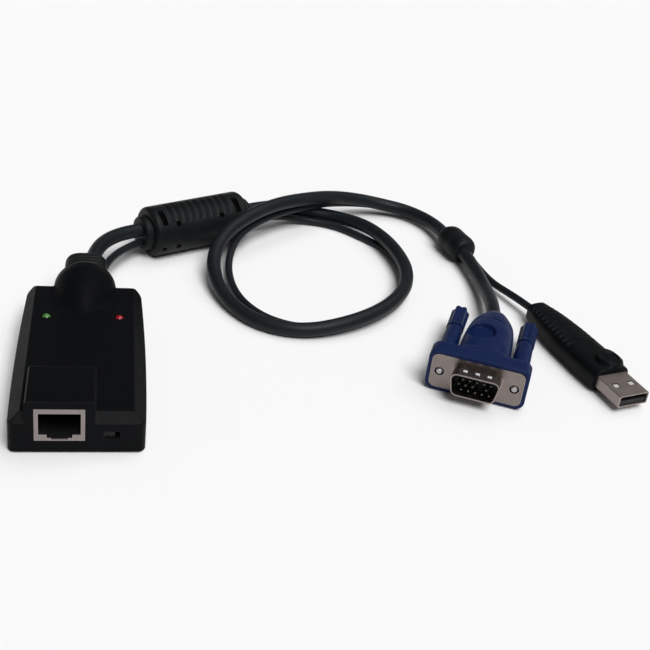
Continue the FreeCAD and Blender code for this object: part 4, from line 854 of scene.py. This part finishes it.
class ADAPTER_OT_video_plug(bpy.types.Operator):
    """The blue moulding, the plated plate and shell, and the two thumbscrews."""

    bl_idname = "adapter.video_plug"
    bl_label = "Video plug"

    def execute(self, context):
        colours, sizes, _ = settings()
        # The hood's sharp edges are painted paler: partly wear, partly a painted highlight.
        blue = moulded_plastic("hood_blue", colours.hood, roughness=0.42, gloss=0.16, grain=0.0006,
                               depth=0.000025, mottling=0.12, paler=(0.010, 0.026, 0.10))
        metal = plated_metal("plug_metal", shade(colours.plating, 0.66), roughness=0.3,
                             drawn=(1.0, 6.0, 6.0), turn=VIDEO_PLUG[1], dulled=0.0)
        steel = plated_metal("screw_steel", (0.42, 0.40, 0.39), roughness=0.3)
        dress(metal, "vga_shell")
        for side, x in (("left", -SCREW_SPACING / 2), ("right", SCREW_SPACING / 2)):
            body = side + "_thumbscrew"
            knob = add_piece(side + "_grip", [self.knob(x)], blue, body, sharp=50.0,
                             place=VIDEO_PLUG)
            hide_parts(side + "_knob")
            screw = add_piece(side + "_thread", [self.screw(x)], steel, body,
                              place=VIDEO_PLUG)
            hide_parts(side + "_screw")
        hood = add_piece("video_hood", [self.block(), self.apron(), self.grip(sizes)], blue,
                         place=VIDEO_PLUG)
        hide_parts("vga_hood")
        # The dimples are coloured near white and only partly metallic, so they show as bright spots:
        # painted highlights on real pressed dimples.
        bright = plated_metal("dimple_painted_highlight", (0.85, 0.85, 0.84), roughness=0.25, dulled=0.6)
        dimples = [tablet(half_w=0.75, half_l=0.6, corner=0.3, thick=0.22, rim=0.15,
                          spot=(x, -3.1, 4.1)) for x in (-3.9, 0.1, 4.1)]
        add_piece("shell_dimples", dimples, bright, place=VIDEO_PLUG)
        return {"FINISHED"}

    def knob(self, x):
        """A thumbscrew's knob: a tapering barrel, a ring line and a head with six lobes.

        The head's radius is r - depth sin(3 angle)^2, fading in behind the ring line.
        """
        rounding, lobe_depth, lobe_fade = 1.0, 0.62, (28.8, 30.4)
        front, (head_end, head_radius) = KNOB_SECTIONS[0][0], KNOB_SECTIONS[-1]
        rear_edge = [(head_end + rounding * math.sin(a),
                      head_radius - rounding + rounding * math.cos(a))
                     for a in np.linspace(0.0, math.pi / 2, 7)[1:]]
        table = np.array(KNOB_SECTIONS + rear_edge)
        y = np.unique(np.concatenate([np.linspace(front, head_end, 180), table[:, 0]]))
        radius = np.interp(y, table[:, 0], table[:, 1])
        around = ring_angles(120)
        lobes = lobe_depth * np.sin(3 * around) ** 2 * soft_step(y, *lobe_fade)[:, None]
        reach = radius[:, None] - lobes
        return on_grid(x + reach * np.cos(around), y[:, None], reach * np.sin(around))

    def screw(self, x):
        """The end of a thumbscrew: a small round point, a cone, and a thread.

        The thread is a wave depth sin(2 pi y / pitch - angle) on the core's radius.
        """
        pitch, depth, thread_fade = 0.5, 0.1, (0.6, 1.0)
        point_end, rear = -0.25, 8.5
        table = np.array(SCREW_SECTIONS)
        y = np.concatenate([table[:3, 0], np.linspace(point_end, rear, 160)])
        core = np.interp(y, table[:, 0], table[:, 1])
        around = ring_angles(48)
        wave = depth * np.sin(2 * math.pi / pitch * y[:, None] - around[None, :])
        reach = core[:, None] + wave * soft_step(y, *thread_fade)[:, None]
        return on_grid(x + reach * np.cos(around), y[:, None], reach * np.sin(around))

    def apron(self):
        """The arched step where the grip meets the block: a rounded slab, bowed to the cable.

        The slab is drawn 1 thick and stretched to a back that bows as 1 - (x / half)^2.
        """
        half_w, half_h, corner, inner = 9.15, 7.52, 4.2, 7.0
        front, back, bow, bow_half = 5.0, 7.0, 3.4, 9.0
        edge_inset, edge_drop = 0.5, 0.12
        profile = [(inner, 0.0), (0.0, 0.0)]
        profile += [(edge_inset * c, 1.0 - edge_drop * s) for c, s in quarter_round(7)]
        profile += [(inner, 1.0)]
        rings = carried_profile(half_w, half_h, corner, profile, ring_angles(120))
        rear = back + bow * (1 - np.clip(np.abs(rings[..., 0]) / bow_half, 0.0, 1.0) ** 2)
        rings[..., 1] = front + (rear - front) * rings[..., 1]
        return rings

    def block(self):
        """The block round the plate: a profile carried round a rounded rectangle.

        It rises from behind the plate, turns over the border and runs back to a rounded rear edge.
        """
        half_w, half_h, corner, inner = 16.7, 7.55, 3.0, 7.2
        plate_inset, plate_back, back = 1.28, 0.85, 7.2
        front, front_edge, rear_edge = 0.25, 0.35, 0.9
        profile = [(inner, plate_back), (plate_inset, plate_back), (plate_inset, front)]
        profile += [(front_edge * s, front + front_edge * c) for c, s in quarter_round(7)]
        profile += [(rear_edge * c, back - rear_edge * s) for c, s in quarter_round(7)]
        profile += [(inner, back)]
        return carried_profile(half_w, half_h, corner, profile, ring_angles(96))

    def grip(self, sizes):
        """The grip: superellipse sections, an oval dish pressed into its top, four bowed grooves.

        The dish lowers the top by a steep step in the distance from the oval's middle, and each
        groove draws a section in by a bell curve whose place bows towards the cable in the middle.
        """
        dish_x, dish_y, dish_half_w, dish_half_l = -2.6, 21.0, 4.7, 5.5
        dish_rim, tail_back = (0.93, 1.04), 0.48
        squareness, rounder, rounder_fade = 2.9, 0.6, (26.0, 41.0)
        y = np.concatenate([np.linspace(6.2, 13.0, 18), np.linspace(13.2, 28.5, 88),
                            np.linspace(28.7, 32.0, 12), np.linspace(32.1, 41.5, 86)])
        w, h = smooth_sizes(HOOD_SECTIONS, y)
        power = (squareness - rounder * soft_step(y, *rounder_fade))[:, None]
        w, h, y = w[:, None], h[:, None], y[:, None]
        x, z = squared_round(ring_angles(180)[None, :], w, h, power)
        drawn_in = bowed_grooves(x / w, y, count=4, rear=38.9, gap=2.3, bow=2.2,
                                 depth=sizes.groove / MM * 1.5)
        scale = 1 - drawn_in / np.hypot(x, z)
        x, z = x * scale, z * scale
        far = np.hypot((x - dish_x) / dish_half_w, (y - dish_y) / dish_half_l)
        bowl = 0.75 + 0.25 * (1 - np.clip(far, 0, 1) ** 2)
        sunk = sizes.dish / MM * (1 - soft_step(far, *dish_rim)) * bowl
        rings = on_grid(x, y, np.where(z > 0, z - sunk, z))
        last = rings[-1].copy()
        rings[-1, :, 1] -= tail_back
        tail = [on_grid(last[:, 0] * share, last[:, 1] + back - tail_back, last[:, 2] * share)
                for share, back in ((0.93, 0.25), (0.78, 0.42), (0.6, 0.48))]
        return np.concatenate([rings, np.array(tail)])


class ADAPTER_OT_usb_plug(bpy.types.Operator):
    """The ribbed grip with its raised thumb pad, and the plated USB shell."""

    bl_idname = "adapter.usb_plug"
    bl_label = "USB plug"

    def execute(self, context):
        colours, sizes, _ = settings()
        black = moulded_plastic("grip_black", colours.grip, roughness=0.46, gloss=0.08,
                                grain=0.0006, depth=0.000025)
        shell = plated_metal("usb_metal", shade(colours.plating, 0.8), roughness=0.34,
                             drawn=(6.0, 1.0, 6.0), turn=USB_PLUG[1])
        dress(shell, "usb_shell")
        bright = plated_metal("latch_metal", (0.7, 0.7, 0.7), roughness=0.3, dulled=0.75)
        latches = [tablet(half_w=0.95, half_l=0.85, corner=0.1, thick=0.16, rim=0.05,
                          spot=(x, 6.2, 1.96)) for x in (-3.1, 3.1)]
        add_piece("usb_latches", latches, bright, place=USB_PLUG)
        grip = add_piece("usb_grip", [self.grip(sizes)], black, place=USB_PLUG)
        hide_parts("usb_boot")
        return {"FINISHED"}

    def grip(self, sizes):
        """The grip: superellipse sections, eleven bowed grooves and an oval pad with a sunk middle.

        A quarter ellipse rounds the front edge, and a step leads back from it to inside the grip.
        """
        front, edge_end, step_back = 12.6, 13.2, 14.6
        edge, edge_length = 0.35, 0.6
        pad_x, pad_y, pad_half_w, pad_half_l = 1.8, 17.8, 4.9, 5.2
        pad_rise, pad_rim, pad_dish, dish_rim = 1.5, (0.9, 1.06), 0.7, (0.6, 0.74)
        power, groove_fade = 3.2, 0.25
        y = np.concatenate([np.linspace(front, edge_end, 5), np.linspace(13.4, 26.5, 90),
                            np.linspace(26.7, 59.0, 240)])
        around = ring_angles(150)
        w, h = smooth_sizes(GRIP_SECTIONS, y)
        ahead = ((edge_end - y) / edge_length).clip(0, 1)
        rim = edge * (1 - np.sqrt(np.clip(1 - ahead ** 2, 0, 1)))
        w, h, y = (w - rim)[:, None], (h - rim)[:, None], y[:, None]
        x, z = squared_round(around[None, :], w, h, power)
        drawn_in = bowed_grooves(x / w, y, count=11, rear=56.6, gap=2.5, bow=1.2,
                                 depth=sizes.groove / MM * 1.1)
        plain_below = np.where(x > 0, -0.35, 0.66)
        drawn_in *= soft_step(z / h, plain_below, plain_below + groove_fade)
        scale = 1 - drawn_in / np.hypot(x, z)
        x, z = x * scale, z * scale
        far = np.hypot((x - pad_x) / pad_half_w, (y - pad_y) / pad_half_l)
        pad = pad_rise * (1 - soft_step(far, *pad_rim)) - pad_dish * (1 - soft_step(far, *dish_rim))
        rings = on_grid(x, y, np.where(z > 0, z + pad, z))
        step = [(2.0, step_back), (0.0, step_back), (0.0, front)]
        lead = carried_profile(half_w=6.0, half_h=2.25, corner=0.5, profile=step, around=around)
        return np.concatenate([lead, rings])


class ADAPTER_PT_panel(bpy.types.Panel):
    """Buttons and settings of the adapter's looks."""

    bl_idname = "ADAPTER_PT_panel"
    bl_label = "Adapter"
    bl_space_type = "VIEW_3D"
    bl_region_type = "UI"
    bl_category = "Adapter"

    def draw(self, context):
        for operator in OPERATORS:
            self.layout.operator(operator.bl_idname)
        for group in settings():
            for name in group.__annotations__:
                self.layout.prop(group, name)


OPERATORS = (ADAPTER_OT_stage, ADAPTER_OT_cords, ADAPTER_OT_housing, ADAPTER_OT_jack,
             ADAPTER_OT_lights, ADAPTER_OT_board, ADAPTER_OT_video_plug, ADAPTER_OT_usb_plug)
GROUPS = (AdapterColours, AdapterSizes, AdapterStage)


def register():
    for kind in GROUPS + OPERATORS + (ADAPTER_PT_panel,):
        bpy.utils.register_class(kind)
    bpy.types.Scene.adapter_colours = PointerProperty(type=AdapterColours)
    bpy.types.Scene.adapter_sizes = PointerProperty(type=AdapterSizes)
    bpy.types.Scene.adapter_stage = PointerProperty(type=AdapterStage)


def unregister():
    for name in ("adapter_colours", "adapter_sizes", "adapter_stage"):
        delattr(bpy.types.Scene, name)
    for kind in reversed(GROUPS + OPERATORS + (ADAPTER_PT_panel,)):
        bpy.utils.unregister_class(kind)


def main():
    """Register the classes and run each operator in order."""
    register()
    bpy.ops.adapter.stage()
    bpy.ops.adapter.cords()
    bpy.ops.adapter.housing()
    bpy.ops.adapter.jack()
    bpy.ops.adapter.lights()
    bpy.ops.adapter.board()
    bpy.ops.adapter.video_plug()
    bpy.ops.adapter.usb_plug()


if __name__ == "__main__":
    main()
